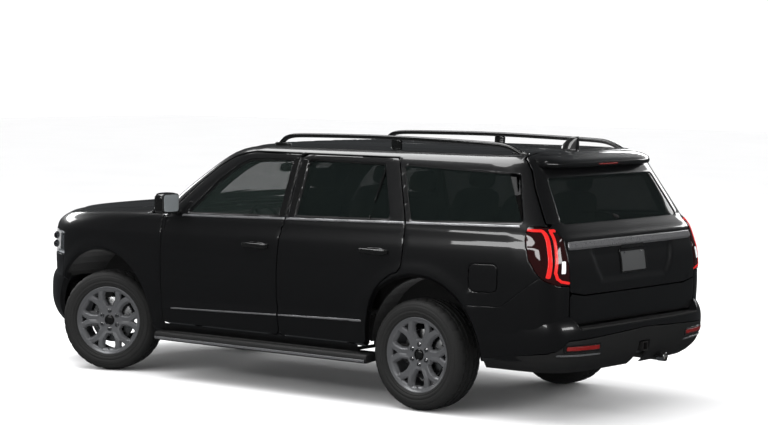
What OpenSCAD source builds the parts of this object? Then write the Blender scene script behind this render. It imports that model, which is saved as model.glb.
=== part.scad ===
// Full-size sport utility vehicle with a two-piece rear gate, millimetres.
// +X forward, +Y left, +Z up; origin on the ground below the middle of the vehicle.

/* [Wheels] */
// distance between the front and rear axle lines
wheelbase = 3112; // [2900:1:3400]
// rear axle line, measured back from the middle of the vehicle
rear_axle_back = 1412; // [1300:1:1500]
// outer radius of a tyre
tyre_r = 390; // [370:1:405]
// overall width of a tyre
tyre_w = 275; // [235:1:285]
// distance between the middles of the left and right tyres
track = 1696; // [1660:1:1740]
// sideways distance from the steering pivot to the middle of the tyre
scrub = 58; // [50:1:66]
// angle the front wheels are turned to the left at rest
steer_rest = 22; // [0:1:30]

/* [Body] */
// half width of the body at the doors
half_w = 987; // [950:1:1010]
// front face of the front bumper
front_x = 2667; // [2620:1:2700]
// rear face of the rear bumper
rear_x = -2667; // [-2700:1:-2620]
// height of the belt line at the doors
belt_z = 1290; // [1260:1:1310]
// radius of the wheel openings
arch_r = 545; // [520:1:560]
// gap round every door, lid and flap
gap = 8; // [7:1:12]
// thickness of a door
door_t = 110; // [90:1:120]
// thickness of pillars and quarter panels
wall_t = 62; // [50:1:80]
// thickness of the lids
lid_t = 60; // [45:1:70]

/* [Frame] */
// outer face of the chassis rails
rail_y = 470; // [440:1:485]
// width of a chassis rail
rail_w = 70; // [60:1:90]
// top of the chassis rails
rail_top = 580; // [560:1:600]
// height of a chassis rail
rail_h = 130; // [100:1:150]

/* [Rear end] */
// inner size of the square hitch receiver
receiver = 50.8; // [50.8:0.1:63.5]
// height of the split between liftgate and lower tailgate
split_z = 868; // [850:1:890]
// height of the bumper step
step_z = 640; // [620:1:650]

/* [Hidden] */
fx = wheelbase - rear_axle_back;
rx = -rear_axle_back;
king_y = track / 2 - scrub;
arch_z = tyre_r + 20;
g2 = gap / 2;
dw = half_w - 987;
ff = front_x - 2667;
rr = rear_x + 2667;
bz = belt_z - 1290;
$fn = 48;

// ---------- body surface: stacked plan outlines ----------
// corner tables: distance behind the end face, share of the half width
FC = [[0, 0], [14, 0.30], [50, 0.52], [130, 0.70], [210, 0.80], [320, 0.88], [470, 0.945], [700, 0.985], [950, 1]];
RC = [[0, 0], [4, 0.5], [10, 0.75], [22, 0.86], [50, 0.92], [95, 0.955], [170, 0.985], [320, 1]];
GC = [[0, 0], [10, 0.30], [28, 0.55], [55, 0.76], [90, 0.88], [130, 0.94], [190, 0.98], [300, 1]];
// rows: height, half width, front, rear, front corner stretch
LOW = [[330, 905, 2480, -2500, 1], [420, 950, 2560, -2540, 1], [560, 972, 2590, -2562, 1],
  [700, 983, 2600, -2574, 1], [850, 987, 2606, -2580, 1], [1000, 986, 2604, -2578, 1],
  [1090, 981, 2592, -2566, 1], [1140, 974, 2565, -2552, 1], [1185, 966, 2500, -2540, 1.05],
  [1212, 961, 2430, -2532, 1.1], [1240, 948, 2260, -2522, 1.15], [1265, 920, 2040, -2505, 1.25],
  [1290, 880, 1780, -2480, 1.4], [1310, 820, 1490, -2440, 1.3], [1325, 600, 1200, -2380, 1]];
TOP = [[1235, 957, 1225, -2524], [1270, 951, 1205, -2505], [1292, 943, 1190, -2488], [1340, 925, 1150, -2458],
  [1430, 893, 1050, -2408], [1560, 848, 880, -2332], [1660, 812, 740, -2276], [1720, 790, 640, -2246],
  [1750, 775, 570, -2236], [1775, 745, 490, -2226], [1795, 690, 380, -2200], [1808, 580, 200, -2140],
  [1815, 400, -50, -1950]];

function half(w, f, r, fc, rc, k) = concat(
  [for (p = fc) [f - p[0] * k, w * p[1]]],
  [for (i = [len(rc) - 1:-1:0]) [r + rc[i][0], w * rc[i][1]]]);
function ring(h) = concat(h, [for (i = [len(h) - 2:-1:1]) [h[i][0], -h[i][1]]]);

module slab(z, pts) { translate([0, 0, z]) linear_extrude(0.5) polygon(pts); }

module low_row(i, d) {
  q = LOW[i];
  slab(q[0] - min(d, 26), ring(half(q[1] + dw - d, q[2] + ff - d, q[3] + rr + d, FC, RC, q[4])));
}
module top_row(i, d) {
  q = TOP[i];
  slab(q[0] - min(d, 26), ring(half(q[1] + dw - d, q[2] - d, q[3] + rr + d, GC, RC, 1)));
}
module low_body(d) { for (i = [0:len(LOW) - 2]) hull() { low_row(i, d); low_row(i + 1, d); } }
module top_body(d) { for (i = [0:len(TOP) - 2]) hull() { top_row(i, d); top_row(i + 1, d); } }
module full_body(d) { low_body(d); top_body(d); }
module shell(t) { difference() { full_body(0); full_body(t); } }
module side_shell(t) { intersection() { shell(t); translate([-3000, 0, 0]) cube([6000, 1200, 2200]); } }
module skin(a, b) { difference() { full_body(a); full_body(b); } }

// prism over a side view outline (x, z), left half or both
module side_prism(pts, y0, y1) {
  translate([0, y1, 0]) rotate([90, 0, 0]) linear_extrude(y1 - y0) polygon(pts);
}
// prism over a front view outline (y, z)
module end_prism(pts, x0, x1) {
  translate([x0, 0, 0]) rotate([90, 0, 90]) linear_extrude(x1 - x0) polygon(pts);
}
module plan_prism(pts, z0, z1) { translate([0, 0, z0]) linear_extrude(z1 - z0) polygon(pts); }
module both() { children(); mirror([0, 1, 0]) children(); }
module arch(x, r, y0, y1) { translate([x, y1, arch_z]) rotate([90, 0, 0]) cylinder(r = r, h = y1 - y0, $fn = 40); }

// ---------- shut lines, side view ----------
// gap centre between front and rear door, bottom to top
BC = [[-131, 400], [-131, 900], [-149, 1134], [-190, belt_z], [-201, 1750]];
function off_x(l, d) = [for (p = l) [p[0] + d, p[1]]];
function rev(l) = [for (i = [len(l) - 1:-1:0]) l[i]];
DOOR_Z = 428;
DOOR_TOP = 1738;
FA = [[1040, 400], [1040, 985], [992, 1236 + bz], [940, 1305], [715, 1520], [575, 1632], [450, 1700], [330, 1730]];
RA = [[-955, 400], [-962, 560], [-985, 680], [-1015, 760], [-1060, 830], [-1120, 890], [-1190, 936], [-1276, 966],
  [-1291, 1114], [-1286, belt_z], [-1100, 1750]];
module door_f2(d) {
  offset(delta = -d) polygon(concat([[1040, DOOR_Z - 4]], [for (i = [1:7]) FA[i]],
    [[250, DOOR_TOP + 4], [-201, DOOR_TOP + 4]], rev([for (i = [1:3]) BC[i]]), [[-131, DOOR_Z - 4]]));
}
module door_r2(d) {
  offset(delta = -d) polygon(concat([[-131, DOOR_Z - 4]], [for (i = [1:3]) BC[i]], [[-201, DOOR_TOP + 4],
    [-1104, DOOR_TOP + 4]], rev([for (i = [1:9]) RA[i]]), [[-955, DOOR_Z - 4]]));
}
module up2(y0, y1) { translate([0, y1, 0]) rotate([90, 0, 0]) linear_extrude(y1 - y0) children(); }

WF = [[800, 1272], [560, 1520], [400, 1640], [290, 1690], [-135, 1706], [-118, 1290]];
WR = [[-262, 1294], [-275, 1708], [-990, 1700], [-1145, 1312]];
WQ = [[-1318, 1312], [-1150, 1700], [-2150, 1668], [-2262, 1345]];
GATE_CUT = [[-2405, 1345], [-2270, 1570], [-2205, 1700], [-2165, 1752], [-2135, 1775], [-2135, 1850], [-2700, 1850], [-2700, 1345]];
GATE_END = [[-796, split_z + 26], [-640, split_z], [640, split_z], [796, split_z + 26], [796, 1235], [850, 1345], [-850, 1345], [-796, 1235]];
GLASS_END = [[-738, 1338], [-655, 1640], [655, 1640], [738, 1338]];
LOWGATE_END = [[-752, 670], [752, 670], [790, 720], [796, split_z + 14], [640, split_z - 10], [-640, split_z - 10],
  [-796, split_z + 14], [-790, 720]];
WIND_END = [[-845, 1338], [-690, 1700], [-640, 1742], [640, 1742], [690, 1700], [845, 1338]];
FLAP = [[-1866, 870], [-2098, 876], [-2098, 1062], [-1866, 1054]];
HOOD_PLAN = [[1215, -800], [1700, -812], [2150, -770], [2400, -650], [2700, -480], [2700, 480], [2400, 650], [2150, 770], [1700, 812], [1215, 800]];
GRILLE_END = [[-470, 740.8], [470, 740.8], [480, 1128], [-480, 1128]];
LAMP_F_END = [[486, 872], [486, 1080], [900, 1062], [990, 1010], [990, 900], [900, 872]];

module gate_zone(d) {
  end_prism([for (p = GATE_END) [p[0] + sign(p[0]) * d, p[1] - (p[1] < 1000 ? d : 0)]], -2800, -2330);
  translate([0, 0, 0]) up2(-1000, 1000) offset(delta = d) polygon(GATE_CUT);
}

// ---------- body shell pieces ----------
// door hinges: axis positions and heights
HF = [1010, 975];
HR = [-165, 975];
HZ = [560, 1000];
// fuel flap hinge axis, in the gap ahead of the flap
FLAP_AXIS = [-1862.5, 987 + dw];
module leaf_front(z) {
  translate([HF[0], HF[1], z - 8]) cylinder(r = 5, h = 36, $fn = 24);
  translate([HF[0] - 7, HF[1] - 47, z - 8]) cube([14, 45, 16]);
  translate([HF[0] - 7, HF[1] - 47, z - 8]) cube([50, 12, 16]);
}
module leaf_rear(z) {
  translate([HR[0], HR[1], z - 8]) cylinder(r = 5, h = 36, $fn = 24);
  translate([HR[0] - 7, 826, z - 8]) cube([14, HR[1] - 826 - 2, 16]);
}
module hinge_pocket(h, z) { translate([h[0] - 20, 700, z - 30]) cube([60, 281, 60]); }
module hinge_eye(h, z) {
  difference() {
    translate([h[0] - 10, h[1] - 10, z + 9]) cube([20, 17, 22]);
    translate([h[0], h[1], z]) cylinder(r = 5.4, h = 60, $fn = 24);
  }
}
module body_half(flap) {
  difference() {
    side_shell(wall_t);
    // ahead of the hinge post and below the rocker
    translate([1036, 0, 0]) cube([2000, 1200, 1300]);
    translate([1036, 0, 1240]) cube([2000, 1200, 100]);
    // windshield and roof panel
    end_prism(WIND_END, 300, 1400);
    translate([-3000, -1, 1700]) cube([6000, 691, 300]);
    // rear openings
    gate_zone(gap);
    up2(0, 1200) polygon([[-2302, 930], [-2302, 1345], [-2430, 1345], [-2700, 1345], [-2700, 930]]);
    end_prism([[-804, 640], [804, 640], [804, 900], [-804, 900]], -2800, -2330);
    side_prism([[-1700, 765], [-2130, 778], [-2420, 985], [-2800, 985], [-2800, 0], [-1700, 0]], 0, 1200);
    // doors, window, flap, wheel
    up2(600, 1200) { door_f2(-g2); door_r2(-g2); }
    side_prism(WQ, 600, 1200);
    if (flap) side_prism([for (p = FLAP) [p[0] + (p[0] > -2000 ? 9 : -7), p[1] + (p[1] < 1000 ? -7 : 7)]], 700, 1200);
    arch(rx, arch_r, 600, 1200);
    translate([-3000, -1, 0]) cube([6000, 1200, 364]);
    translate([-3000, -1, 0]) cube([6000, 680, 1690]);
  }
  // hinge post behind the fender, with the leaves of the front door
  translate([1048, 850, 420]) cube([60, 80, 790]);
  translate([1048, 900, HZ[0] - 20]) cube([40, 42, HZ[1] - HZ[0] + 40]);
  for (z = HZ) { leaf_front(z); leaf_rear(z); }
  // centre post inboard of the doors
  hull() {
    translate([-260, 788, 410]) cube([140, 44, 10]);
    translate([-260, 788, 1230]) cube([140, 48, 10]);
  }
  hull() {
    translate([-260, 788, 1230]) cube([140, 48, 10]);
    translate([-250, 600, 1705]) cube([110, 36, 10]);
  }
  for (z = [640, 860]) translate([1050, 930, z]) cube([50, z < 700 ? 35 : 41.6, 40]);
  // sill behind the doors and rail under the roof edge
  translate([-1000, 780, 362.3]) cube([2110, 120, 57.7]);
  translate([-1250, 600, 1705]) cube([1310, 36, 66.5]);
  if (flap) {
    for (z = [905, 992]) {
      translate([FLAP_AXIS[0], FLAP_AXIS[1], z]) cylinder(r = 3.2, h = 23, $fn = 20);
      translate([FLAP_AXIS[0], FLAP_AXIS[1] - 7, z]) cube([9, 7, 23]);
    }
    translate([FLAP_AXIS[0], FLAP_AXIS[1], 925]) cylinder(r = 1.5, h = 70, $fn = 20);
  }
}
module body_sides() { color("black") { body_half(true); mirror([0, 1, 0]) body_half(false); } }

module roof_panel() {
  color("black") intersection() {
    shell(26);
    translate([-2121, -689.7, 1700.3]) cube([4000, 1379.4, 300]);
    translate([-3000, -689.7, 0]) cube([3520 , 1379.4, 2100]);
  }
}

module front_fenders() {
  color("black") both() difference() {
    side_shell(14);
    translate([-3000, -1, 0]) cube([4044, 1300, 2200]);
    plan_prism([for (p = HOOD_PLAN) [p[0] + (p[0] < 1300 ? -30 : 0), p[1] + sign(p[1]) * gap]], 900, 1500);
    translate([-3000, -1, 1249]) cube([4200, 1300, 900]);
    arch(fx, arch_r, 400, 1200);
    end_prism([for (p = LAMP_F_END) [p[0] + (p[0] < 500 ? -1 : 0.3), p[1] + (p[1] > 1000 ? 0.3 : -0.3)]], 2160, 2800);
    translate([2162, 0, 0]) cube([1000, 1200, 872.3]);
    translate([fx, 0, 0]) cube([1000, 1200, 700]);
    translate([2450, -1, 800]) cube([1000, 600, 600]);
    translate([1000, 0, 0]) cube([1000, 1200, 366]);
  }
}

BF = [[285, 860, 2545], [340, 905, 2600], [420, 940, 2645], [520, 955, 2667], [640, 955, 2665], [705, 948, 2650], [740, 940, 2622]];
module bump_f(d) {
  for (i = [0:len(BF) - 2]) hull() for (j = [0, 1]) {
    q = BF[i + j];
    slab(q[0] - d, ring(half(q[1] + dw - d, q[2] + ff - d, 0, FC, RC, 0.95)));
  }
}
module front_bumper() {
  color("black") difference() {
    union() {
      difference() { bump_f(0); translate([0, 0, -20]) bump_f(28); translate([-3000, -1200, 0]) cube([5163, 2400, 2000]); }
      difference() {
        intersection() { shell(28); translate([2163, -1200, 700]) cube([900, 2400, 171.7]); }
        end_prism([[-487, 738], [487, 738], [487, 900], [-487, 900]], 2100, 2800);
        translate([2163, -600, 0]) cube([300, 1200, 2000]);
      }
    }
    arch(fx, arch_r, -1200, 1200);
    translate([2500, -420, 400]) cube([300, 840, 110]);
    full_body(42);
  }
}

module grille() {
  color("dimgray") {
    difference() {
      intersection() { shell(40); end_prism(GRILLE_END, 2450, 2800); }
      end_prism([[-400, 790], [400, 790], [420, 1060], [-420, 1060]], 2400, 2800);
    }
    intersection() {
      skin(8, 34);
      union() for (k = [0:3]) translate([2450, -430, 822 + 62 * k]) cube([300, 860, 20]);
    }
  }
}

module headlamps() {
  color("lightgray") both() intersection() { side_shell(110); end_prism(LAMP_F_END, 2161, 2800); }
}

BR = [[370, 925, -2590], [430, 962, -2645], [520, 978, -2667], [600, 980, -2667], [step_z, 975, -2660]];
module bump_r(d) {
  for (i = [0:len(BR) - 2]) hull() for (j = [0, 1]) {
    q = BR[i + j];
    slab(q[0] - d, ring(half(q[1] + dw - d, 0, q[2] + rr + d, FC, RC, 1)));
  }
}
module rear_bumper() {
  color("black") difference() {
    union() {
      difference() {
        bump_r(0);
        translate([0, 0, -12]) bump_r(28);
        full_body(33);
        translate([-1700, -1200, 0]) cube([5000, 2400, 2000]);
      }
      intersection() {
        shell(34);
        union() {
          side_prism([[-1700, 764.7], [-2130, 777.7], [-2420, 984.7], [-2800, 984.7], [-2800, 420], [-1700, 420]], 0, 1200);
          mirror([0, 1, 0]) side_prism([[-1700, 764.7], [-2130, 777.7], [-2420, 984.7], [-2800, 984.7], [-2800, 420], [-1700, 420]], 0, 1200);
        }
      }
    }
    end_prism([[-804, step_z], [804, step_z], [804, 1000], [-804, 1000]], -2800, -2000);
    end_prism([[-1200, 929.7], [1200, 929.7], [1200, 1100], [-1200, 1100]], -2800, -2302);
    for (s = [-1, 1]) scale([1, s, 1]) arch(rx, arch_r, 600, 1200);
    translate([-2800, -60, 400]) cube([400, 120, 110]);
  }
  // hinge posts and pins of the lower tailgate
  color("black") for (s = [-1, 1]) {
    translate([-2568, s * 610 - 8, step_z - 6]) cube([16, 16, 56]);
    translate([TAIL_AXIS[0], s * 610 + (s > 0 ? 34 : -2), TAIL_AXIS[1]]) rotate([90, 0, 0]) cylinder(r = 5.6, h = 32, $fn = 24);
  }
}

module tail_lamps() {
  color("red") both() difference() {
    intersection() {
      side_shell(60);
      side_prism([[-2302.3, 930], [-2302.3, 1344.7], [-2700, 1344.7], [-2700, 930]], 600, 1200);
    }
    gate_zone(gap);
    end_prism([[-804, 640], [804, 640], [804, 960], [-804, 960]], -2800, -2330);
  }
}

module windshield() {
  color("gray", 0.5) intersection() {
    skin(3, 9);
    end_prism(WIND_END, 521, 1400);
    translate([521, -1000, 1338]) cube([2000, 2000, 500]);
  }
}
module quarter_windows() { color("gray", 0.5) both() intersection() { skin(6, 12); side_prism(WQ, 600, 1200); } }

module rail_bar() {
  hull() { translate([-60, 612, 1850]) cube([20, 36, 30]); translate([-700, 612, 1858]) cube([20, 36, 30]); }
  hull() { translate([-700, 612, 1858]) cube([20, 36, 30]); translate([-1850, 612, 1840]) cube([20, 36, 30]); }
  hull() { translate([-60, 612, 1850]) cube([20, 36, 30]); translate([90, 612, 1785]) cube([60, 36, 20]); }
  hull() { translate([-1850, 612, 1840]) cube([20, 36, 30]); translate([-2060, 612, 1775]) cube([80, 36, 20]); }
  translate([-1000, 612, 1780]) cube([90, 36, 82]);
}
module roof_rails() {
  color("gray") difference() { both() rail_bar(); hull() { top_row(10, 0); top_row(11, 0); }
    hull() { top_row(9, 0); top_row(10, 0); } hull() { top_row(11, 0); top_row(12, 0); } }
}
module antenna() {
  color("black") difference() {
    hull() {
      translate([-2085, -20, 1795]) cube([150, 40, 5]);
      translate([-2090, -4, 1898]) cube([30, 8, 7]);
    }
    hull() { top_row(11, 0); top_row(12, 0); }
    hull() { top_row(10, 0); top_row(11, 0); }
  }
}

module running_boards() {
  color("dimgray") both() {
    translate([-975, 0, 0]) rotate([90, 0, 90]) linear_extrude(2070)
      polygon([[820, 310], [992, 296], [1000, 306], [998, 340], [985, 352], [860, 362], [820, 362]]);
    for (x = [-700, 0, 800]) translate([x, rail_y, 335]) cube([60, 352, 24]);
    for (x = [-700, 0, 800]) translate([x, rail_y, 335]) cube([60, 14, 130]);
  }
}

module liner(x, r, y0, y1) {
  difference() {
    arch(x, r + 8, y0 - 8, y1);
    arch(x, r, y0, y1 + 1);
    translate([x - 900, -2000, -500]) cube([1800, 4000, 500 + 430]);
  }
}
module wheel_arch_liners() {
  color("darkgray") both() difference() {
    union() {
      intersection() {
        liner(fx, arch_r + 4, 490, 930);
        translate([1112, 0, 0]) cube([1050.7, 2000, 1180]);
        full_body(14.3);
      }
      liner(rx, arch_r - 36, 648, 834);
    }
    for (x = [fx, rx]) translate([x - 130, 400, 500]) cube([260, 300, 140]);
  }
}

HOOD_AXIS = [1232, 1274];
module cowl() {
  color("black") {
    translate([1024, -760, 1255]) cube([156, 1520, 20]);
    for (s = [[60, 620], [-640, -60]]) hull() {
      translate([1110, s[0], 1275]) cylinder(r = 12, h = 22, $fn = 20);
      translate([1140, s[1], 1275]) cylinder(r = 8, h = 22, $fn = 20);
    }
    // arms and pins of the hood hinges
    both() {
      translate([1160, 571, 1250]) cube([62, 10, 15]);
      translate([1221, 571, 1250]) cube([21, 10, 12]);
      translate([1226, 571, 1260]) cube([12, 10, 20.5]);
      translate([HOOD_AXIS[0], 550, HOOD_AXIS[1]]) rotate([-90, 0, 0]) cylinder(r = 6, h = 22, $fn = 24);
    }
  }
}

// ---------- chassis ----------
module ladder_frame() {
  color("dimgray") {
    both() translate([-2450, rail_y - rail_w, rail_top - rail_h]) cube([4840, rail_w, rail_h]);
    for (x = [2000, 560, -520, -1080, -1442, -1850, -2450])
      translate([x, -(rail_y - rail_w), rail_top - 60]) cube([60, 2 * (rail_y - rail_w), 60]);
    translate([2330, -700, rail_top - 60]) cube([60, 1400, 100]);
  }
}
module floor_pan() {
  color("gray") {
    difference() {
      translate([-2440, -788, rail_top]) cube([3490, 1576, 30]);
      for (s = [-1, 1]) translate([rx - 575, s > 0 ? 640 : -860, 0]) cube([1150, 220, 800]);
      for (s = [-1, 1]) translate([-2445, s > 0 ? 780 : -860, 0]) cube([480, 80, 800]);
    }
    translate([1020, -788, rail_top + 30]) cube([28, 1576, 645]);
    both() translate([rx - 583, 620, rail_top + 30]) cube([1166, 20, 340]);
    both() translate([rx - 583, 640, rail_top + 350]) cube([1166, 190, 20]);
  }
}
module engine_block() {
  color("silver") {
    translate([1370, -230, 480]) cube([590, 460, 640]);
    both() translate([1600, 230, 500]) cube([120, 170, 70]);
  }
}
module radiator() { color("silver") translate([2230, -380, 540]) cube([60, 760, 520]);
  color("silver") both() translate([2230, 380, 540]) cube([60, 20, 40]); }
module drivetrain() {
  color("silver") {
    translate([640, -140, 400]) cube([730, 280, 110]);
    translate([-1240, 0, 450]) rotate([0, 90, 0]) cylinder(r = 35, h = 1880);
    translate([rx - 150, -120, 330]) cube([322, 240, 175]);
    translate([-1440, -50, 505]) cube([56, 100, 15]);
    translate([fx - 110, -250, 330]) cube([220, 500, 120]);
    translate([fx - 40, -60, 450]) cube([80, 120, 30]);
  }
}
module tube(p, q, r) { hull() { translate(p) sphere(r = r, $fn = 12); translate(q) sphere(r = r, $fn = 12); } }
module exhaust() {
  color("silver") {
    tube([1350, -300, 420], [300, -300, 400], 30);
    tube([300, -300, 400], [-700, -300, 400], 30);
    translate([-1120, -370, 320]) cube([450, 200, 130]);
    tube([-1100, -300, 405], [-1300, -300, 466], 28);
    tube([-1300, -300, 466], [-1580, -300, 466], 28);
    tube([-1580, -300, 466], [-1900, -300, 380], 28);
    tube([-1900, -300, 380], [-2610, -262, 368], 28);
    translate([1340, -330, 430]) cube([60, 100, 60]);
  }
}
module fuel_tank() {
  color("dimgray") {
    translate([-900, 100, 360]) cube([900, 270, 150]);
    translate([-520, 300, 510]) cube([60, 70, 10]);
    translate([-800, 370, 470]) cube([60, 30, 40]);
  }
}
module hitch_receiver() {
  o = receiver / 2 + 6.35;
  color("dimgray") difference() {
    union() {
      translate([-2662, -o, 470 - o]) cube([262, 2 * o, 2 * o]);
      translate([-2440, -400, 440]) cube([60, 800, 62]);
      both() translate([-2440, 372, 440]) cube([60, 28, 80]);
    }
    translate([-2700, -receiver / 2, 470 - receiver / 2]) cube([240, receiver, receiver]);
  }
}

// ---------- suspension and wheels ----------
module arm(x, z, w0, y0, y1) {
  hull() {
    translate([x - w0, y0, z - 15]) cube([2 * w0, 20, 30]);
    translate([x, y1, z - 15]) cylinder(r = 38, h = 30, $fn = 20);
  }
}
module front_suspension() {
  color("dimgray") both() {
    arm(fx, 230, 110, rail_y - 60, king_y - 4);
    arm(fx, 575, 90, rail_y, king_y - 4);
    for (x = [-100, 70]) translate([fx + x, rail_y - 60, 230]) cube([30, 30, rail_top - rail_h - 230]);
    translate([fx - 100, rail_y, 560]) cube([200, 12, 20]);
    translate([fx, 255, 395]) rotate([-90, 0, 0]) cylinder(r = 18, h = king_y - 262 - 78);
    translate([fx, 250, 395]) rotate([-90, 0, 0]) cylinder(r = 45, h = 20);
  }
}
module rear_suspension() {
  color("dimgray") both() {
    for (z = [232, 560]) arm(rx, z, 60, z > 400 ? rail_y : rail_y - 70, 750);
    translate([rx - 60, rail_y - 70, 232]) cube([120, 30, rail_top - rail_h - 232]);
    translate([rx, 120, tyre_r]) rotate([-90, 0, 0]) cylinder(r = 20, h = 620);
    hub_carrier_at(rx, track / 2);
  }
}
module hub_carrier_at(x, y) {
  translate([x, y, tyre_r]) hub_carrier();
}
// hub carrier in wheel axes: +Y outboard, origin at the middle of the tyre
module hub_carrier() {
  rotate([90, 0, 0]) translate([0, 0, 2]) cylinder(r = 62, h = 76);
  rotate([90, 0, 0]) translate([0, 0, -60]) cylinder(r = 25, h = 70);
  translate([-35, -84, -144.7]) cube([70, 50, 314.4]);
  // brake caliper round the disc
  translate([100, -30, -60]) cube([102, 30, 120]);
  translate([183, -30, -60]) cube([22, 88, 120]);
  translate([118, 40, -60]) cube([87, 18, 120]);
  translate([40, -60, -40]) cube([70, 32, 80]);
}
module knuckle() { translate([0, scrub, 0]) hub_carrier(); }
module at_left() { translate([fx, king_y, tyre_r]) rotate([0, 0, steer_rest]) children(); }
module at_right() { translate([fx, -king_y, tyre_r]) rotate([0, 0, steer_rest]) mirror([0, 1, 0]) children(); }
module knuckle_left() { color("dimgray") at_left() knuckle(); }
module knuckle_right() { color("dimgray") at_right() knuckle(); }

module turn(p) { rotate([-90, 0, 0]) rotate_extrude($fn = 64) polygon(p); }
module tyre() {
  h = tyre_w / 2;
  k = tyre_r - 390;
  turn([[259, -h + 28], [275, -h + 10], [300, -h], [330, -h + 1], [362 + k, -h + 12], [380 + k, -h + 30],
    [388 + k, -60], [390 + k, 0], [388 + k, 60], [380 + k, h - 30], [362 + k, h - 12], [330, h - 1],
    [300, h], [275, h - 10], [259, h - 28]]);
}
module rim() {
  difference() {
    union() {
      turn([[248, -112], [258.7, -109.5], [258.7, 109.5], [260.5, 112.5], [265.5, 118], [250, 119], [236, 108], [238, 60], [246, 20], [246, -100]]);
      turn([[25.4, 36], [88, 36], [110, 60], [238, 78], [240, 104], [110, 84], [78, 92], [25.4, 92]]);
      turn([[0, 68], [40, 68], [40, 94], [0, 96]]);
    }
    for (k = [0:5]) rotate([0, 60 * k, 0]) translate([0, 200, 0]) rotate([90, 0, 0]) linear_extrude(180)
      polygon([[-42, 205], [42, 205], [58, 150], [30, 110], [-30, 110], [-58, 150]]);
    for (k = [0:5]) rotate([0, 30 + 60 * k, 0]) translate([0, 200, 0]) rotate([90, 0, 0]) linear_extrude(180)
      polygon([[-34, 228], [34, 228], [0, 176]]);
  }
  // brake disc on the hub flange
  turn([[25.4, 5], [175, 5], [175, 35], [120, 35], [88, 36.5], [25.4, 36.5]]);
}
module wheel_front_left() { color("gray") at_left() translate([0, scrub, 0]) rim(); }
module wheel_front_right() { color("gray") at_right() translate([0, scrub, 0]) rim(); }
module wheel_rear_left() { color("gray") translate([rx, track / 2, tyre_r]) rim(); }
module wheel_rear_right() { color("gray") mirror([0, 1, 0]) translate([rx, track / 2, tyre_r]) rim(); }
module tyre_front_left() { color("black") at_left() translate([0, scrub, 0]) tyre(); }
module tyre_front_right() { color("black") at_right() translate([0, scrub, 0]) tyre(); }
module tyre_rear_left() { color("black") translate([rx, track / 2, tyre_r]) tyre(); }
module tyre_rear_right() { color("black") mirror([0, 1, 0]) translate([rx, track / 2, tyre_r]) tyre(); }

// ---------- doors ----------
module door(k) {
  h = k == 0 ? HF : HR;
  difference() {
    intersection() {
      side_shell(door_t);
      up2(500, 1200) difference() {
        if (k == 0) door_f2(g2); else door_r2(g2);
        if (k == 0) polygon(WF); else polygon(WR);
      }
    }
    for (z = HZ) hinge_pocket(h, z);
  }
  for (z = HZ) hinge_eye(h, z);
}
module door_glass(k) {
  intersection() { skin(14, 20); side_prism(k == 0 ? WF : WR, 500, 1200); }
}
module handle(x, z) {
  hull() { translate([x, 990 + dw, z]) cube([250, 8, 26]); translate([x + 8, 984 + dw, z + 3]) cube([234, 4, 20]); }
  for (d = [12, 218]) translate([x + d, 972 + dw, z + 4]) cube([20, 14, 18]);
}
module front_door_left() { color("black") { door(0); handle(-48, 1056); } }
module front_door_right() { mirror([0, 1, 0]) front_door_left(); }
module rear_door_left() { color("black") { door(1); handle(-1160, 1078); } }
module rear_door_right() { mirror([0, 1, 0]) rear_door_left(); }
module front_glass_left() { color("gray", 0.5) door_glass(0); }
module front_glass_right() { mirror([0, 1, 0]) front_glass_left(); }
module rear_glass_left() { color("gray", 0.5) door_glass(1); }
module rear_glass_right() { mirror([0, 1, 0]) rear_glass_left(); }
module door_mirror_left() {
  color("black") {
    hull() {
      translate([830, 1010, 1275]) cube([70, 160, 150]);
      translate([900, 1030, 1290]) cube([50, 130, 120]);
    }
    difference() {
      hull() { translate([840, 920, 1262]) cube([70, 30, 40]); translate([840, 1012, 1285]) cube([70, 10, 50]); }
      full_body(0);
    }
  }
}
module door_mirror_right() { mirror([0, 1, 0]) door_mirror_left(); }

// ---------- lids ----------
module hood() {
  color("black") difference() {
    intersection() {
      skin(0, 26);
      plan_prism(HOOD_PLAN, 1000, 1500);
    }
    translate([0, -1200, 0]) cube([3000, 2400, 1136]);
    translate([0, -1200, 1000]) cube([1215, 2400, 600]);
  }
  color("black") both() difference() {
    translate([HOOD_AXIS[0] - 11, 552, HOOD_AXIS[1] - 11]) cube([22, 16, 32]);
    translate([HOOD_AXIS[0], 500, HOOD_AXIS[1]]) rotate([-90, 0, 0]) cylinder(r = 6.4, h = 100, $fn = 24);
  }
}
module liftgate() {
  color("black") {
    difference() {
      intersection() { shell(lid_t); gate_zone(0); }
      end_prism(GLASS_END, -2800, -2200);
      translate([-2800, -1200, 0]) cube([700, 2400, 700]);
    }
    difference() {
      hull() {
        translate([-2352, -640, 1705]) cube([10, 1280, 28]);
        translate([-2190, -700, 1740]) cube([10, 1400, 20]);
        translate([-2150, -640, 1780]) cube([10, 1280, 18]);
      }
      full_body(2);
    }
  }
}
module liftgate_glass() { color("gray", 0.5) intersection() { skin(4, 10); end_prism(GLASS_END, -2800, -2200); } }
TAIL_AXIS = [-2560, 690];
module lower_tailgate() {
  color("black") difference() {
    intersection() { shell(lid_t - 15); end_prism(LOWGATE_END, -2800, -2400); }
    for (s = [-1, 1]) translate([-2620, s * 610 - 15, 600]) cube([92, 30, 106]);
    for (s = [-1, 1]) translate([TAIL_AXIS[0], s * 630 + 30, TAIL_AXIS[1]]) rotate([90, 0, 0]) cylinder(r = 6, h = 60, $fn = 24);
  }
}
module fuel_flap() {
  color("black") {
    intersection() { side_shell(9); side_prism(FLAP, 700, 1200); }
    translate([FLAP_AXIS[0], FLAP_AXIS[1], 929]) difference() {
      union() {
        cylinder(r = 3.2, h = 62, $fn = 20);
        translate([-8, -7, 0]) cube([8, 7, 62]);
      }
      translate([0, 0, -1]) cylinder(r = 1.9, h = 70, $fn = 20);
    }
  }
}

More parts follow.
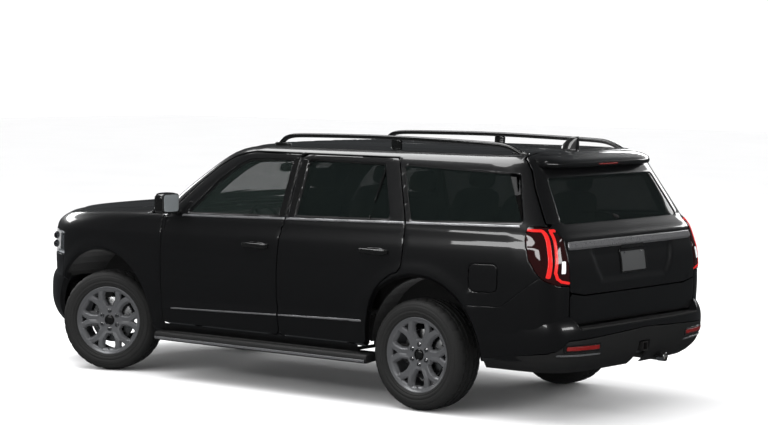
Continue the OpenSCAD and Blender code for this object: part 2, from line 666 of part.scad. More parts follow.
// ---------- cabin ----------
module seat(x, y, w, z) {
  translate([x, y + w / 2, z]) rotate([90, 0, 0]) linear_extrude(w)
    polygon([[0, 0], [500, 20], [520, 60], [515, 150], [30, 130], [-150, 640], [-230, 650], [-270, 620], [-120, 60], [-60, 0]]);
  translate([x - 245, y + 110, z + 655]) rotate([90, 0, 0]) linear_extrude(220)
    polygon([[0, 20], [80, 12], [100, 60], [60, 160], [-20, 165], [-30, 100]]);
  for (s = [-60, 60]) translate([x - 205, y + s, z + 600]) cylinder(r = 7, h = 90, $fn = 16);
  translate([x - 40, y - w / 2 + 60, rail_top + 30]) cube([480, w - 120, z - rail_top - 28]);
}
module front_seats() { color("tan") both() seat(155, 380, 540, 800); }
module second_row_seats() { color("tan") both() seat(-780, 364, 490, 810); }
module third_row_seat() { color("tan") both() seat(-1700, 290, 520, 830); }
SW = [475, 400, 1150];
module dashboard() {
  color("dimgray") {
    difference() {
      translate([0, 700, 0]) rotate([90, 0, 0]) linear_extrude(1400)
        polygon([[1020, 900], [1020, 1235], [880, 1262], [640, 1215], [590, 1150], [640, 980], [760, 900]]);
    }
    translate([-60, -100, rail_top + 30]) cube([760, 200, 320]);
    translate([600, -100, rail_top + 30]) cube([140, 200, 380]);
    // steering column
    translate(SW) rotate([0, -65, 0]) translate([0, 0, -265]) cylinder(r = 32, h = 250.6);
  }
}
module steering_wheel() {
  color("dimgray") translate(SW) rotate([0, -65, 0]) {
    rotate_extrude($fn = 48) translate([180, 0]) circle(r = 15, $fn = 20);
    translate([0, 0, -14]) cylinder(r = 62, h = 34);
    for (a = [0, 120, 240]) rotate([0, 0, a - steer_rest * 15.4]) translate([50, -16, -8]) cube([126, 32, 16]);
  }
}

ladder_frame();
floor_pan();
body_sides();
roof_panel();
front_fenders();
front_bumper();
grille();
headlamps();
rear_bumper();
tail_lamps();
windshield();
quarter_windows();
roof_rails();
antenna();
running_boards();
wheel_arch_liners();
cowl();
dashboard();
front_seats();
second_row_seats();
third_row_seat();
engine_block();
radiator();
drivetrain();
exhaust();
fuel_tank();
hitch_receiver();
front_suspension();
rear_suspension();
front_door_left();
front_door_right();
rear_door_left();
rear_door_right();
front_glass_left();
front_glass_right();
rear_glass_left();
rear_glass_right();
door_mirror_left();
door_mirror_right();
hood();
liftgate();
liftgate_glass();
lower_tailgate();
fuel_flap();
knuckle_left();
knuckle_right();
wheel_front_left();
wheel_front_right();
wheel_rear_left();
wheel_rear_right();
tyre_front_left();
tyre_front_right();
tyre_rear_left();
tyre_rear_right();
steering_wheel();
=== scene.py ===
import bpy, math
import numpy as np
from mathutils import Matrix, Vector


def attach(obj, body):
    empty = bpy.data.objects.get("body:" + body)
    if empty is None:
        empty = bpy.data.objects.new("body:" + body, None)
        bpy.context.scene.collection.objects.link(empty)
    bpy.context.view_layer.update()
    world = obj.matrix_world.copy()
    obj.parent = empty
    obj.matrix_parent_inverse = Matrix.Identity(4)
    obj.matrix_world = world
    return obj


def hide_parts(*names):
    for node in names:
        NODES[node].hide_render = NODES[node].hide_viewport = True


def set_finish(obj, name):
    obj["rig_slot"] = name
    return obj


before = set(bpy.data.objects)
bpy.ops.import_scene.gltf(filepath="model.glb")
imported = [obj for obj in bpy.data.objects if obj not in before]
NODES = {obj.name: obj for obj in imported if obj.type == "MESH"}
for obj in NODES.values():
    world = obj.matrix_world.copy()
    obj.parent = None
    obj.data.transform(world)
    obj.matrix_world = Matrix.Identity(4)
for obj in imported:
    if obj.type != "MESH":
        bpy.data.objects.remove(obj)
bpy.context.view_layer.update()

# ------------------------------------------------------------------ materials
def new_mat(name):
    """a material with its node tree and shader"""
    m = bpy.data.materials.new(name)
    m.use_nodes = True
    nt = m.node_tree
    b = nt.nodes["Principled BSDF"]
    return m, nt, b


def surface(name, c1, c2, rough, metal=0.0, scale=60.0, bump=0.0, bump_scale=None, rvar=0.06, coat=0.0,
            coat_rough=0.03, spec=0.5, alpha=1.0, emit=None, kind="noise", sheen=0.0, aniso=0.0, ior=1.5,
            stretch=None):
    """two colours mixed by a procedural pattern, with varied roughness and a bump pattern"""
    m, nt, b = new_mat(name)
    N, L = nt.nodes, nt.links
    co = N.new("ShaderNodeTexCoord")
    mp = N.new("ShaderNodeMapping")
    mp.inputs["Scale"].default_value = stretch or (1, 1, 1)
    L.new(co.outputs["Object"], mp.inputs["Vector"])
    no = N.new("ShaderNodeTexNoise")
    no.inputs["Scale"].default_value = scale
    no.inputs["Detail"].default_value = 5
    L.new(mp.outputs["Vector"], no.inputs["Vector"])
    mix = N.new("ShaderNodeMix")
    mix.data_type = "RGBA"
    mix.inputs[6].default_value = (*c1, 1)
    mix.inputs[7].default_value = (*c2, 1)
    L.new(no.outputs["Fac"], mix.inputs[0])
    L.new(mix.outputs[2], b.inputs["Base Color"])
    mr = N.new("ShaderNodeMapRange")
    mr.inputs["From Min"].default_value = 0.3
    mr.inputs["From Max"].default_value = 0.7
    mr.inputs["To Min"].default_value = max(0.02, rough - rvar)
    mr.inputs["To Max"].default_value = min(1, rough + rvar)
    L.new(no.outputs["Fac"], mr.inputs["Value"])
    L.new(mr.outputs["Result"], b.inputs["Roughness"])
    b.inputs["Metallic"].default_value = metal
    b.inputs["Specular IOR Level"].default_value = spec
    b.inputs["IOR"].default_value = ior
    b.inputs["Coat Weight"].default_value = coat
    b.inputs["Coat Roughness"].default_value = coat_rough
    b.inputs["Alpha"].default_value = alpha
    if sheen:
        b.inputs["Sheen Weight"].default_value = sheen
    if aniso:
        b.inputs["Anisotropic"].default_value = aniso
    if emit:
        b.inputs["Emission Color"].default_value = (*emit[0], 1)
        b.inputs["Emission Strength"].default_value = emit[1]
    if bump:
        if kind == "noise":
            t = N.new("ShaderNodeTexNoise")
            t.inputs["Detail"].default_value = 3
            out = t.outputs["Fac"]
        elif kind == "cells":
            t = N.new("ShaderNodeTexVoronoi")
            out = t.outputs["Distance"]
        else:
            t = N.new("ShaderNodeTexWave")
            t.inputs["Distortion"].default_value = 0.4
            out = t.outputs["Fac"]
        t.inputs["Scale"].default_value = bump_scale or scale * 4
        L.new(mp.outputs["Vector"], t.inputs["Vector"])
        bu = N.new("ShaderNodeBump")
        bu.inputs["Strength"].default_value = bump
        bu.inputs["Distance"].default_value = 0.002
        L.new(out, bu.inputs["Height"])
        L.new(bu.outputs["Normal"], b.inputs["Normal"])
    return m


M = {}
M["paint"] = surface("gloss_black_paint", (0.0018, 0.0018, 0.0020), (0.0032, 0.0032, 0.0036), 0.30, 0.0,
                     900, 0.012, 90, 0.05, 1.0, 0.02, 0.35)
M["gloss"] = surface("gloss_black_trim", (0.003, 0.003, 0.003), (0.006, 0.006, 0.006), 0.12, 0.0, 300, 0.01,
                     150, 0.03, 0.6, 0.04)
M["plastic"] = surface("grained_black_plastic", (0.006, 0.006, 0.006), (0.012, 0.012, 0.012), 0.50, 0.0,
                       220, 0.25, 1400, 0.08, kind="cells", spec=0.35)
M["step"] = surface("step_pad", (0.010, 0.010, 0.010), (0.02, 0.02, 0.02), 0.7, 0.0, 200, 0.4, 900, 0.08,
                    kind="cells", spec=0.25)
M["felt"] = surface("liner_felt_black", (0.006, 0.006, 0.006), (0.014, 0.014, 0.014), 0.95, 0.0, 400, 0.5,
                    1800, 0.03, spec=0.1, sheen=0.15)
M["carpet"] = surface("carpet_black", (0.010, 0.010, 0.010), (0.022, 0.022, 0.022), 0.95, 0.0, 500, 0.6,
                      1500, 0.03, spec=0.1, sheen=0.3)
M["chassis"] = surface("chassis_coating", (0.010, 0.010, 0.010), (0.02, 0.019, 0.018), 0.5, 0.2, 60, 0.15,
                       240, 0.12)
M["cast"] = surface("cast_aluminium", (0.16, 0.16, 0.165), (0.24, 0.24, 0.245), 0.5, 0.8, 90, 0.35, 500, 0.12)
M["steel"] = surface("satin_steel", (0.34, 0.34, 0.35), (0.46, 0.46, 0.47), 0.32, 1.0, 50, 0.05, 600, 0.1)
M["disc"] = surface("machined_disc", (0.50, 0.50, 0.50), (0.68, 0.68, 0.68), 0.28, 1.0, 30, 0.05, 700, 0.08,
                    aniso=0.4)
M["alloy"] = surface("dark_satin_alloy", (0.105, 0.107, 0.112), (0.135, 0.137, 0.143), 0.36, 0.55, 420,
                     0.03, 900, 0.06, coat=0.35, coat_rough=0.2)
M["chrome"] = surface("bright_chrome", (0.72, 0.72, 0.73), (0.80, 0.80, 0.81), 0.10, 1.0, 40, 0.0, rvar=0.04)
M["rubber"] = surface("tyre_rubber", (0.008, 0.008, 0.008), (0.016, 0.016, 0.0155), 0.62, 0.0, 160, 0.2,
                      700, 0.1, spec=0.3)
M["seal"] = surface("rubber_seal", (0.006, 0.006, 0.006), (0.012, 0.012, 0.012), 0.6, 0.0, 200, 0.1, 700,
                    0.06, spec=0.3)
M["glass_front"] = surface("window_glass_light_tint", (0.010, 0.014, 0.013), (0.012, 0.017, 0.015), 0.03,
                           0.0, 8, 0.0, rvar=0.01, alpha=0.50, spec=0.4)
M["glass_rear"] = surface("window_glass_dark_tint", (0.004, 0.006, 0.006), (0.006, 0.008, 0.007), 0.03, 0.0,
                          8, 0.0, rvar=0.01, alpha=0.74, spec=0.4)
M["glass_wind"] = surface("windshield_glass", (0.02, 0.026, 0.024), (0.024, 0.03, 0.028), 0.03, 0.0, 8, 0.0,
                          rvar=0.01, alpha=0.35, spec=0.4)
# painted reflection: the mirror is half diffuse pale grey so it looks bright as a reflection of the studio
# would
M["mirror"] = surface("mirror_glass", (0.22, 0.24, 0.25), (0.28, 0.30, 0.31), 0.08, 0.35, 20, 0.0, rvar=0.02)
M["lens"] = surface("clear_lamp_lens", (0.05, 0.055, 0.06), (0.07, 0.075, 0.08), 0.05, 0.0, 60, 0.02, 120,
                    0.02, alpha=0.25)
M["smoke"] = surface("smoked_lamp_lens", (0.010, 0.002, 0.002), (0.016, 0.003, 0.003), 0.06, 0.0, 40, 0.02,
                     120, 0.03, coat=0.6)
M["red"] = surface("red_light_guide", (0.42, 0.008, 0.008), (0.58, 0.014, 0.012), 0.18, 0.0, 90, 0.25, 260,
                   0.05, coat=0.5, emit=((0.8, 0.012, 0.010), 0.22), kind="cells")
M["red_dim"] = surface("red_reflector", (0.10, 0.003, 0.003), (0.16, 0.005, 0.004), 0.16, 0.0, 300, 0.5,
                       900, 0.05, coat=0.5, kind="cells")
M["white_lamp"] = surface("white_lamp_lens", (0.70, 0.72, 0.74), (0.86, 0.88, 0.9), 0.14, 0.0, 120, 0.4,
                          400, 0.05, coat=0.4, kind="cells")
M["reflector"] = surface("lamp_reflector", (0.5, 0.5, 0.52), (0.7, 0.7, 0.72), 0.16, 1.0, 60, 0.2, 300,
                         0.06, kind="cells")
M["leather"] = surface("seat_leather_grain", (0.10, 0.098, 0.094), (0.14, 0.136, 0.13), 0.5, 0.0, 80, 0.35,
                       900, 0.08, kind="cells", sheen=0.1)
M["leather_dark"] = surface("dark_leather_grain", (0.014, 0.014, 0.014), (0.024, 0.024, 0.024), 0.5, 0.0,
                            80, 0.35, 900, 0.08, kind="cells")
M["headliner"] = surface("headliner_fabric", (0.16, 0.155, 0.15), (0.22, 0.215, 0.205), 0.95, 0.0, 500, 0.3,
                         2000, 0.03, spec=0.1, sheen=0.2)
# satin grey trim on the air vents; also the painted highlight colour of the belt, lower door, running board
# and gate bar strips
M["satin"] = surface("satin_grey_trim", (0.30, 0.30, 0.31), (0.38, 0.38, 0.39), 0.30, 0.85, 200, 0.03, 700,
                     0.06)
M["nut"] = surface("bright_nut", (0.62, 0.62, 0.63), (0.74, 0.74, 0.75), 0.16, 1.0, 120, 0.05, 500, 0.05)
M["screen"] = surface("display_glass", (0.004, 0.005, 0.007), (0.008, 0.010, 0.013), 0.08, 0.0, 30, 0.0,
                      rvar=0.02, coat=0.5)
M["plate"] = surface("blank_plate", (0.055, 0.057, 0.058), (0.075, 0.077, 0.078), 0.45, 0.3, 120, 0.08, 500,
                     0.06)
M["exhaust"] = surface("exhaust_steel", (0.20, 0.19, 0.18), (0.34, 0.33, 0.31), 0.38, 1.0, 25, 0.1, 300, 0.12)


def paint_node(node, mat):
    """give a CAD node one material in every slot"""
    o = NODES[node]
    if not o.material_slots:
        o.data.materials.append(mat)
    for s in o.material_slots:
        s.material = mat


# ------------------------------------------------------------------ curves and rows
def pchip(x, y):
    """smooth curve through points that doesn't overshoot; returns a function"""
    x = np.asarray(x, float)
    y = np.asarray(y, float)
    h = np.diff(x)
    dl = np.diff(y) / h
    d = np.zeros_like(y)
    w1, w2 = 2 * h[1:] + h[:-1], h[1:] + 2 * h[:-1]
    with np.errstate(all="ignore"):
        m = (w1 + w2) / (w1 / dl[:-1] + w2 / dl[1:])
    d[1:-1] = np.where(dl[1:] * dl[:-1] > 0, m, 0)
    d[0], d[-1] = dl[0], dl[-1]

    def f(q):
        i = np.clip(np.searchsorted(x, q, "right") - 1, 0, len(x) - 2)
        t = (q - x[i]) / h[i]
        t2, t3 = t * t, t * t * t
        left = y[i] * (2 * t3 - 3 * t2 + 1) + h[i] * d[i] * (t3 - 2 * t2 + t)
        return left + y[i + 1] * (3 * t2 - 2 * t3) + h[i] * d[i + 1] * (t3 - t2)
    return f


def gauss(a, sig, ends):
    """smooth evenly spaced samples; each end is mirrored even or odd"""
    n = int(4 * sig) + 1
    k = np.exp(-0.5 * (np.arange(-n, n + 1) / sig) ** 2)
    k /= k.sum()
    idx = np.minimum(np.arange(n, 0, -1), len(a) - 1)
    pre, post = a[idx], a[::-1][idx][::-1]
    if ends[0] == "odd":
        pre = 2 * a[0] - pre
    if ends[1] == "odd":
        post = 2 * a[-1] - post
    return np.convolve(np.concatenate([pre, a, post]), k, "valid")


def sstep(a, b, x):
    """smooth step from 0 at a to 1 at b"""
    t = np.clip((x - a) / (b - a), 0, 1)
    return t * t * (3 - 2 * t)


def corner(tab, sig):
    """plan outline of a corner: setback and share of the width, made even by arc length"""
    t = np.array(tab, float)
    c = np.concatenate([[0], np.cumsum(np.hypot(np.diff(t[:, 0]), np.diff(t[:, 1]) * 980))])
    length = c[-1]
    c /= length
    q = np.linspace(0, 1, 401)
    k = sig / length * 400
    return q, gauss(pchip(c, t[:, 0])(q), k,
                    ("even", "odd")), gauss(pchip(c, t[:, 1])(q), k, ("odd", "even")), t[-1, 0], length


NOSE_CORNER = corner([[0, 0], [14, .30], [50, .52], [130, .70], [210, .80], [320, .88], [470, .945],
                      [700, .985], [950, 1]], 40)
TAIL_CORNER = corner([[0, 0], [4, .5], [10, .75], [22, .86], [50, .92], [95, .955], [170, .985], [320, 1]],
                     16)
GLASS_CORNER = corner([[0, 0], [10, .30], [28, .55], [55, .76], [90, .88], [130, .94], [190, .98],
                       [300, 1]], 22)

LOW_ROWS = [[330, 905, 2480, -2500, 1], [420, 950, 2560, -2540, 1], [560, 972, 2590, -2562, 1],
            [700, 983, 2600, -2574, 1], [850, 987, 2606, -2580, 1], [1000, 986, 2604, -2578, 1],
            [1090, 981, 2592, -2566, 1], [1140, 974, 2565, -2552, 1], [1185, 966, 2500, -2540, 1.05],
            [1212, 961, 2430, -2532, 1.1], [1240, 948, 2260, -2522, 1.15], [1265, 920, 2040, -2505, 1.25],
            [1290, 880, 1780, -2480, 1.4], [1310, 820, 1490, -2440, 1.3], [1325, 600, 1200, -2380, 1]]
TOP_ROWS = [[1235, 957, 1225, -2524], [1270, 951, 1205, -2505], [1292, 943, 1190, -2488],
            [1340, 925, 1150, -2458], [1430, 893, 1050, -2408], [1560, 848, 880, -2332],
            [1660, 812, 740, -2276], [1720, 790, 640, -2246], [1750, 775, 570, -2236],
            [1775, 745, 490, -2226], [1795, 690, 380, -2200], [1808, 580, 200, -2140],
            [1815, 400, -50, -1950], [1819.5, 200, -340, -1660], [1821.5, 1, -680, -1320]]
FRONT_BUMPER_ROWS = [[285, 860, 2545], [340, 905, 2600], [420, 940, 2645], [520, 955, 2667],
                     [640, 955, 2665], [705, 948, 2650], [740, 940, 2622]]


class Surf:
    """A body surface of plan outlines. s: 0..1 rear corner, 1..2 side, 2..3 front corner; t: the row."""
    merge = True

    def __init__(self, rows, fc, rc, detail=None, sig=0.35):
        r = np.array(rows, float)
        i = np.arange(len(r))
        self.q = np.linspace(0, len(r) - 1, (len(r) - 1) * 40 + 1)
        self.c = [gauss(pchip(i, r[:, k])(self.q), sig * 40, ("odd", "odd")) for k in range(5)]
        self.fc, self.rc, self.detail, self.n = fc, rc, detail, len(r)

    def base(self, p, d):
        s, t = p[:, 0].copy(), p[:, 1]
        z, w, f, r, k = (np.interp(t, self.q, c) for c in self.c)
        z, w, f, r = z - min(d, 26), w - d, f - d, r + d
        sign = np.where((s < 0) | (s > 3), -1.0, 1.0)
        s = np.where(s < 0, -s, s)
        s = np.where(s > 3, 6 - s, s)
        rq, rdx, rsh, rmax, _ = self.rc
        fq, fdx, fsh, fmax, _ = self.fc
        xr, yr = r + np.interp(s, rq, rdx), w * np.interp(s, rq, rsh)
        c = np.clip(3 - s, 0, 1)
        xf, yf = f - k * np.interp(c, fq, fdx), w * np.interp(c, fq, fsh)
        xa, xb = r + rmax, f - k * fmax
        xm = xa + (xb - xa) * np.clip(s - 1, 0, 1)
        x = np.where(s < 1, xr, np.where(s > 2, xf, xm))
        y = np.where(s < 1, yr, np.where(s > 2, yf, w))
        return np.stack([x, y * sign, z], 1)

    def normal(self, p, d=0, full=False):
        e = 2e-3
        g = self.pos if full else self.base
        ds, dt = np.array([[e, 0]]), np.array([[0, e * 4]])
        a = g(p + ds, d) - g(p - ds, d)
        b = g(p + dt, d) - g(p - dt, d)
        n = np.cross(b, a)
        return n / np.maximum(np.linalg.norm(n, axis=1), 1e-9)[:, None]

    def pos(self, p, d=0):
        b = self.base(p, d)
        if self.detail is None:
            return b
        n = self.normal(p, d)
        return b + n * self.detail(b, n, d)[:, None]

    def ts(self, t0, t1, step, kx=0.3):
        """row samples between t0 and t1, no further apart than step"""
        out = [t0]
        qq = np.linspace(t0, t1, 600)
        z, w, f, r, _ = (np.interp(qq, self.q, c) for c in self.c)
        seg = np.maximum.reduce([np.abs(np.diff(z)), np.abs(np.diff(w)), kx * np.abs(np.diff(f)),
                                 kx * np.abs(np.diff(r))])
        cum = np.concatenate([[0], np.cumsum(seg)])
        n = max(2, int(cum[-1] / step) + 1)
        return np.interp(np.linspace(0, cum[-1], n), cum, qq)

    def row(self, z):
        return float(np.interp(z, self.c[0], self.q))


def srange(s0, s1, step, side=3400.0):
    """samples along an outline, from s0 to s1"""
    def length(s):
        a = abs(s)
        sg = math.copysign(1, s)
        a3 = a if a <= 3 else 6 - a
        v = (min(a3, 1) * 1200 + max(0, min(a3, 2) - 1) * side + max(0, a3 - 2) * 1600)
        full = 1200 + side + 1600
        return sg * (v if a <= 3 else 2 * full - v)
    q = np.linspace(s0, s1, 2000)
    c = np.array([length(v) for v in q])
    n = max(2, int(abs(c[-1] - c[0]) / step) + 1)
    return np.interp(np.linspace(c[0], c[-1], n), c, q)


# ------------------------------------------------------------------ fields: negative is kept
def sd_poly(q, poly):
    """signed distance to a closed outline, negative inside"""
    a = np.array(poly, float)
    b = np.roll(a, -1, 0)
    best = np.full(len(q), 1e18)
    inside = np.zeros(len(q), bool)
    for (x0, y0), (x1, y1) in zip(a, b):
        ex, ey = x1 - x0, y1 - y0
        wx, wy = q[:, 0] - x0, q[:, 1] - y0
        t = np.clip((wx * ex + wy * ey) / (ex * ex + ey * ey + 1e-12), 0, 1)
        best = np.minimum(best, (wx - ex * t) ** 2 + (wy - ey * t) ** 2)
        c = ((y0 <= q[:, 1]) != (y1 <= q[:, 1]))
        with np.errstate(all="ignore"):
            xi = x0 + (q[:, 1] - y0) * ex / (ey if ey else 1e-12)
        inside ^= c & (q[:, 0] < xi)
    return np.sqrt(best) * np.where(inside, -1, 1)


def area(p):
    """signed area of an outline"""
    p = np.array(p, float)
    x, y = p[:, 0], p[:, 1]
    return 0.5 * np.sum(x * np.roll(y, -1) - np.roll(x, -1) * y)


def offset(poly, d):
    """mitred outline, d outward"""
    p = np.array(poly, float)
    if area(p) < 0:
        p = p[::-1]
    a, b = np.roll(p, 1, 0), np.roll(p, -1, 0)
    e1, e2 = p - a, b - p
    e1 /= np.linalg.norm(e1, axis=1)[:, None]
    e2 /= np.linalg.norm(e2, axis=1)[:, None]
    n1, n2 = np.stack([e1[:, 1], -e1[:, 0]], 1), np.stack([e2[:, 1], -e2[:, 0]], 1)
    m = n1 + n2
    m /= np.maximum((m * n1).sum(1), 0.35)[:, None]
    return p + m * d


def fld(poly, axes, grow=0.0, r=0.0, inside=True):
    """signed field of an outline seen along an axis; grow moves it outward, r rounds its corners"""
    q = offset(poly, -r) if r else np.array(poly, float)
    sg = 1.0 if inside else -1.0
    return lambda P: sg * (sd_poly(P[:, axes], q) - r - grow)


SIDE, PLAN, END = [0, 2], [0, 1], [1, 2]


def both_of(*fs):
    """inside all of these"""
    return lambda P: np.maximum.reduce([f(P) for f in fs])


def outside(f):
    """the other side of a field"""
    return lambda P: -f(P)


def ax(i, lo=None, hi=None):
    """keep a range of one coordinate"""
    if lo is not None and hi is not None:
        return lambda P: np.maximum(lo - P[:, i], P[:, i] - hi)
    if lo is not None:
        return lambda P: lo - P[:, i]
    return lambda P: P[:, i] - hi


def ay(hi):
    """keep what lies within hi of the middle plane"""
    return lambda P: np.abs(P[:, 1]) - hi


# ------------------------------------------------------------------ sheets cut by fields
def grid(surf, S, T, d=0.0):
    """triangles over the samples, with points that fall together joined"""
    s, t = np.meshgrid(S, T, indexing="ij")
    par = np.stack([s.ravel(), t.ravel()], 1)
    i, j = np.meshgrid(np.arange(len(S) - 1), np.arange(len(T) - 1), indexing="ij")
    a = (i * len(T) + j).ravel()
    b, c, e = a + len(T), a + 1, a + len(T) + 1
    tri = np.concatenate([np.stack([a, c, b], 1), np.stack([b, c, e], 1)])
    if not surf.merge:
        return par, tri
    P = surf.base(par, d)
    _, first, inv = np.unique(np.round(P / 0.02).astype(np.int64), axis=0, return_index=True,
                              return_inverse=True)
    tri = first[inv.ravel()][tri]
    ok = (tri[:, 0] != tri[:, 1]) & (tri[:, 1] != tri[:, 2]) & (tri[:, 0] != tri[:, 2])
    return par, tri[ok]


def split(par, tri, v):
    """cut triangles where the field v is zero"""
    v = np.where(np.abs(v) < 0.03, 0, v)
    sg = np.sign(v).astype(int)
    s3 = sg[tri]
    mixed = (s3.max(1) > 0) & (s3.min(1) < 0)
    keep, mt, ms = tri[~mixed], tri[mixed], s3[mixed]
    if not len(mt):
        return par, tri, v
    e = np.sort(np.concatenate([mt[:, [0, 1]], mt[:, [1, 2]], mt[:, [2, 0]]]), 1)
    cross = sg[e[:, 0]] * sg[e[:, 1]] < 0
    ue, inv = np.unique(e[cross], axis=0, return_inverse=True)
    a, b = ue[:, 0], ue[:, 1]
    t = (v[a] / (v[a] - v[b]))[:, None]
    nid = np.full(len(e), -1)
    nid[cross] = len(par) + inv.ravel()
    n3 = nid.reshape(3, -1)
    par = np.concatenate([par, par[a] + (par[b] - par[a]) * t])
    v = np.concatenate([v, np.zeros(len(a))])
    out = [keep]
    for k in range(3):
        i0, i1, i2 = k, (k + 1) % 3, (k + 2) % 3
        s0, s1, s2 = ms[:, i0], ms[:, i1], ms[:, i2]
        m = (s1 == s2) & (s0 == -s1) & (s0 != 0)
        A, B, C, AB, CA = mt[m, i0], mt[m, i1], mt[m, i2], n3[i0][m], n3[i2][m]
        out += [np.stack([A, AB, CA], 1), np.stack([AB, B, C], 1), np.stack([AB, C, CA], 1)]
        m = (s0 == 0) & (s1 == -s2) & (s1 != 0)
        A, B, C, CENTRE_PILLAR = mt[m, i0], mt[m, i1], mt[m, i2], n3[i1][m]
        out += [np.stack([A, B, CENTRE_PILLAR], 1), np.stack([A, CENTRE_PILLAR, C], 1)]
    return par, np.concatenate(out), v


def compact(par, tri):
    """drop points that no triangle uses"""
    u, inv = np.unique(tri, return_inverse=True)
    return par[u], inv.reshape(tri.shape)


def cut(surf, par, tri, fields, bev, d=0.0):
    """keep the triangles where every field is negative, with extra edges along the bevel"""
    P = surf.base(par, d)
    for f in fields:
        v = f(P)
        tri = tri[(v[tri] < 30).any(1)]
    par, tri = compact(par, tri)
    for f in fields:
        v = f(surf.base(par, d))
        par, tri, v = split(par, tri, v)
        tri = tri[v[tri].sum(1) < 0]
        par, tri = compact(par, tri)
    if bev:
        for lv in (0.35 * bev, 1.3 * bev):
            v = np.maximum.reduce([f(surf.base(par, d)) for f in fields])
            par, tri, _ = split(par, tri, v + lv)
        par, tri = compact(par, tri)
    v = np.maximum.reduce([f(surf.base(par, d)) for f in fields])
    return par, tri, v


def boundary(tri):
    """the edges that one triangle alone uses"""
    e = np.concatenate([tri[:, [0, 1]], tri[:, [1, 2]], tri[:, [2, 0]]])
    key = np.sort(e, 1)
    _, inv, cnt = np.unique(key, axis=0, return_inverse=True, return_counts=True)
    return e[cnt[inv.ravel()] == 1]


def make_obj(name, V, F, mat, body, slot=None, angle=38.0, replaces=(), midx=None, mats=None):
    """mesh object from points in mm and faces (lists or an array)"""
    me = bpy.data.meshes.new(name)
    V = np.asarray(V, float) * 0.001
    if isinstance(F, np.ndarray):
        n = F.shape[1]
        me.vertices.add(len(V))
        me.vertices.foreach_set("co", V.astype(np.float32).ravel())
        me.loops.add(F.size)
        me.loops.foreach_set("vertex_index", F.astype(np.int32).ravel())
        me.polygons.add(len(F))
        me.polygons.foreach_set("loop_start", np.arange(0, F.size, n, dtype=np.int32))
        me.update(calc_edges=True)
    else:
        me.from_pydata([tuple(v) for v in V], [], F)
        me.update()
    me.validate()
    me.shade_smooth()
    me.set_sharp_from_angle(angle=math.radians(angle))
    for m in (mats or [mat]):
        me.materials.append(m)
    if midx is not None:
        me.polygons.foreach_set("material_index", np.asarray(midx, np.int32))
    o = bpy.data.objects.new(name, me)
    bpy.context.scene.collection.objects.link(o)
    if body:
        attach(o, body)
    if slot:
        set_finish(o, slot)
    if replaces:
        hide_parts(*replaces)
    return o


def mirrored(o, name, body, slot=None, replaces=()):
    """the same mesh on the other side"""
    me = o.data.copy()
    co = np.zeros(len(me.vertices) * 3, np.float32)
    me.vertices.foreach_get("co", co)
    co = co.reshape(-1, 3)
    co[:, 1] *= -1
    me.vertices.foreach_set("co", co.ravel())
    me.flip_normals()
    me.update()
    m = bpy.data.objects.new(name, me)
    bpy.context.scene.collection.objects.link(m)
    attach(m, body)
    s = slot or o.get("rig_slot")
    if s:
        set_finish(m, s)
    if replaces:
        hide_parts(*replaces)
    return m


def thin(S, rate):
    """fewer samples: rate(s) says how many of the old ones a new one stands for"""
    S = np.asarray(S, float)
    mid = (S[1:] + S[:-1]) / 2
    cum = np.concatenate([[0], np.cumsum(1.0 / rate(mid))])
    return np.interp(np.linspace(0, cum[-1], max(2, int(round(cum[-1])) + 1)), cum, S)


def side_rate(s):
    """the long straight stretch of an outline needs few samples, its corners more"""
    a = np.where(np.abs(s) > 3, 6 - np.abs(s), np.abs(s))
    return np.where((a > 1.05) & (a < 1.95), 3.0, 1.45)


THIN_ROWS = 1.4


def sheet(surf, S, T, fields, depth, bev=3.0, d0=0.0):
    """closed thin solid cut out of a surface; also returns 1 for each face of its back"""
    if surf.merge:
        S, T = thin(S, side_rate), thin(T, lambda t: np.full(len(t), THIN_ROWS))
    par, tri = grid(surf, S, T, d0)
    par, tri, v = cut(surf, par, tri, fields, bev, d0)
    P = surf.pos(par, d0)
    if bev:
        n = surf.normal(par, d0, full=False)
        k = np.clip(v + bev, 0, bev)
        P = P - n * (bev - np.sqrt(np.maximum(bev * bev - k * k, 0)))[:, None]
    Q = surf.pos(par, depth)
    be = boundary(tri)
    nv = len(P)
    walls = np.concatenate([np.stack([be[:, 1], be[:, 0], be[:, 0] + nv], 1),
                            np.stack([be[:, 1], be[:, 0] + nv, be[:, 1] + nv], 1)])
    inner = tri[:, ::-1] + nv
    back = np.concatenate([np.zeros(len(tri)), np.ones(len(inner)), np.zeros(len(walls))]).astype(int)
    return np.concatenate([P, Q]), np.concatenate([tri, inner, walls]), back


def panel(name, surf, S, T, fields, depth, body, mat, slot=None, bev=3.0, d0=0.0, replaces=(), inner_mat=None,
          angle=38.0):
    """a sheet as a mesh object"""
    V, F, back = sheet(surf, S, T, fields, depth, bev, d0)
    if inner_mat is None:
        return make_obj(name, V, F, mat, body, slot, angle, replaces)
    return make_obj(name, V, F, mat, body, slot, angle, replaces, back, [mat, inner_mat])


def panel_pair(name, surf, S, T, fields, depth, body, *rest, replaces=(), **named):
    """a panel on the left and its mirror image on the right; body and replaces may name the left side"""
    o = panel(name + "_left", surf, S, T, fields, depth, body, *rest, replaces=replaces, **named)
    r = tuple(x.replace("left", "right") for x in replaces if "left" in x)
    return mirrored(o, name + "_right", body.replace("left", "right"), replaces=r)


# ------------------------------------------------------------------ lofts, lathes, bars and pads
def loft(rings, caps=True):
    """closed tube through rings of points, all of one length"""
    R3 = np.array(rings, float)
    n, m, _ = R3.shape
    V = R3.reshape(-1, 3)
    i, j = np.meshgrid(np.arange(n - 1), np.arange(m), indexing="ij")
    a, b = (i * m + j).ravel(), (i * m + (j + 1) % m).ravel()
    F = np.stack([a, b, b + m, a + m], 1).tolist()
    if caps:
        F.append(list(range(m))[::-1])
        F.append([(n - 1) * m + k for k in range(m)])
    return V, F


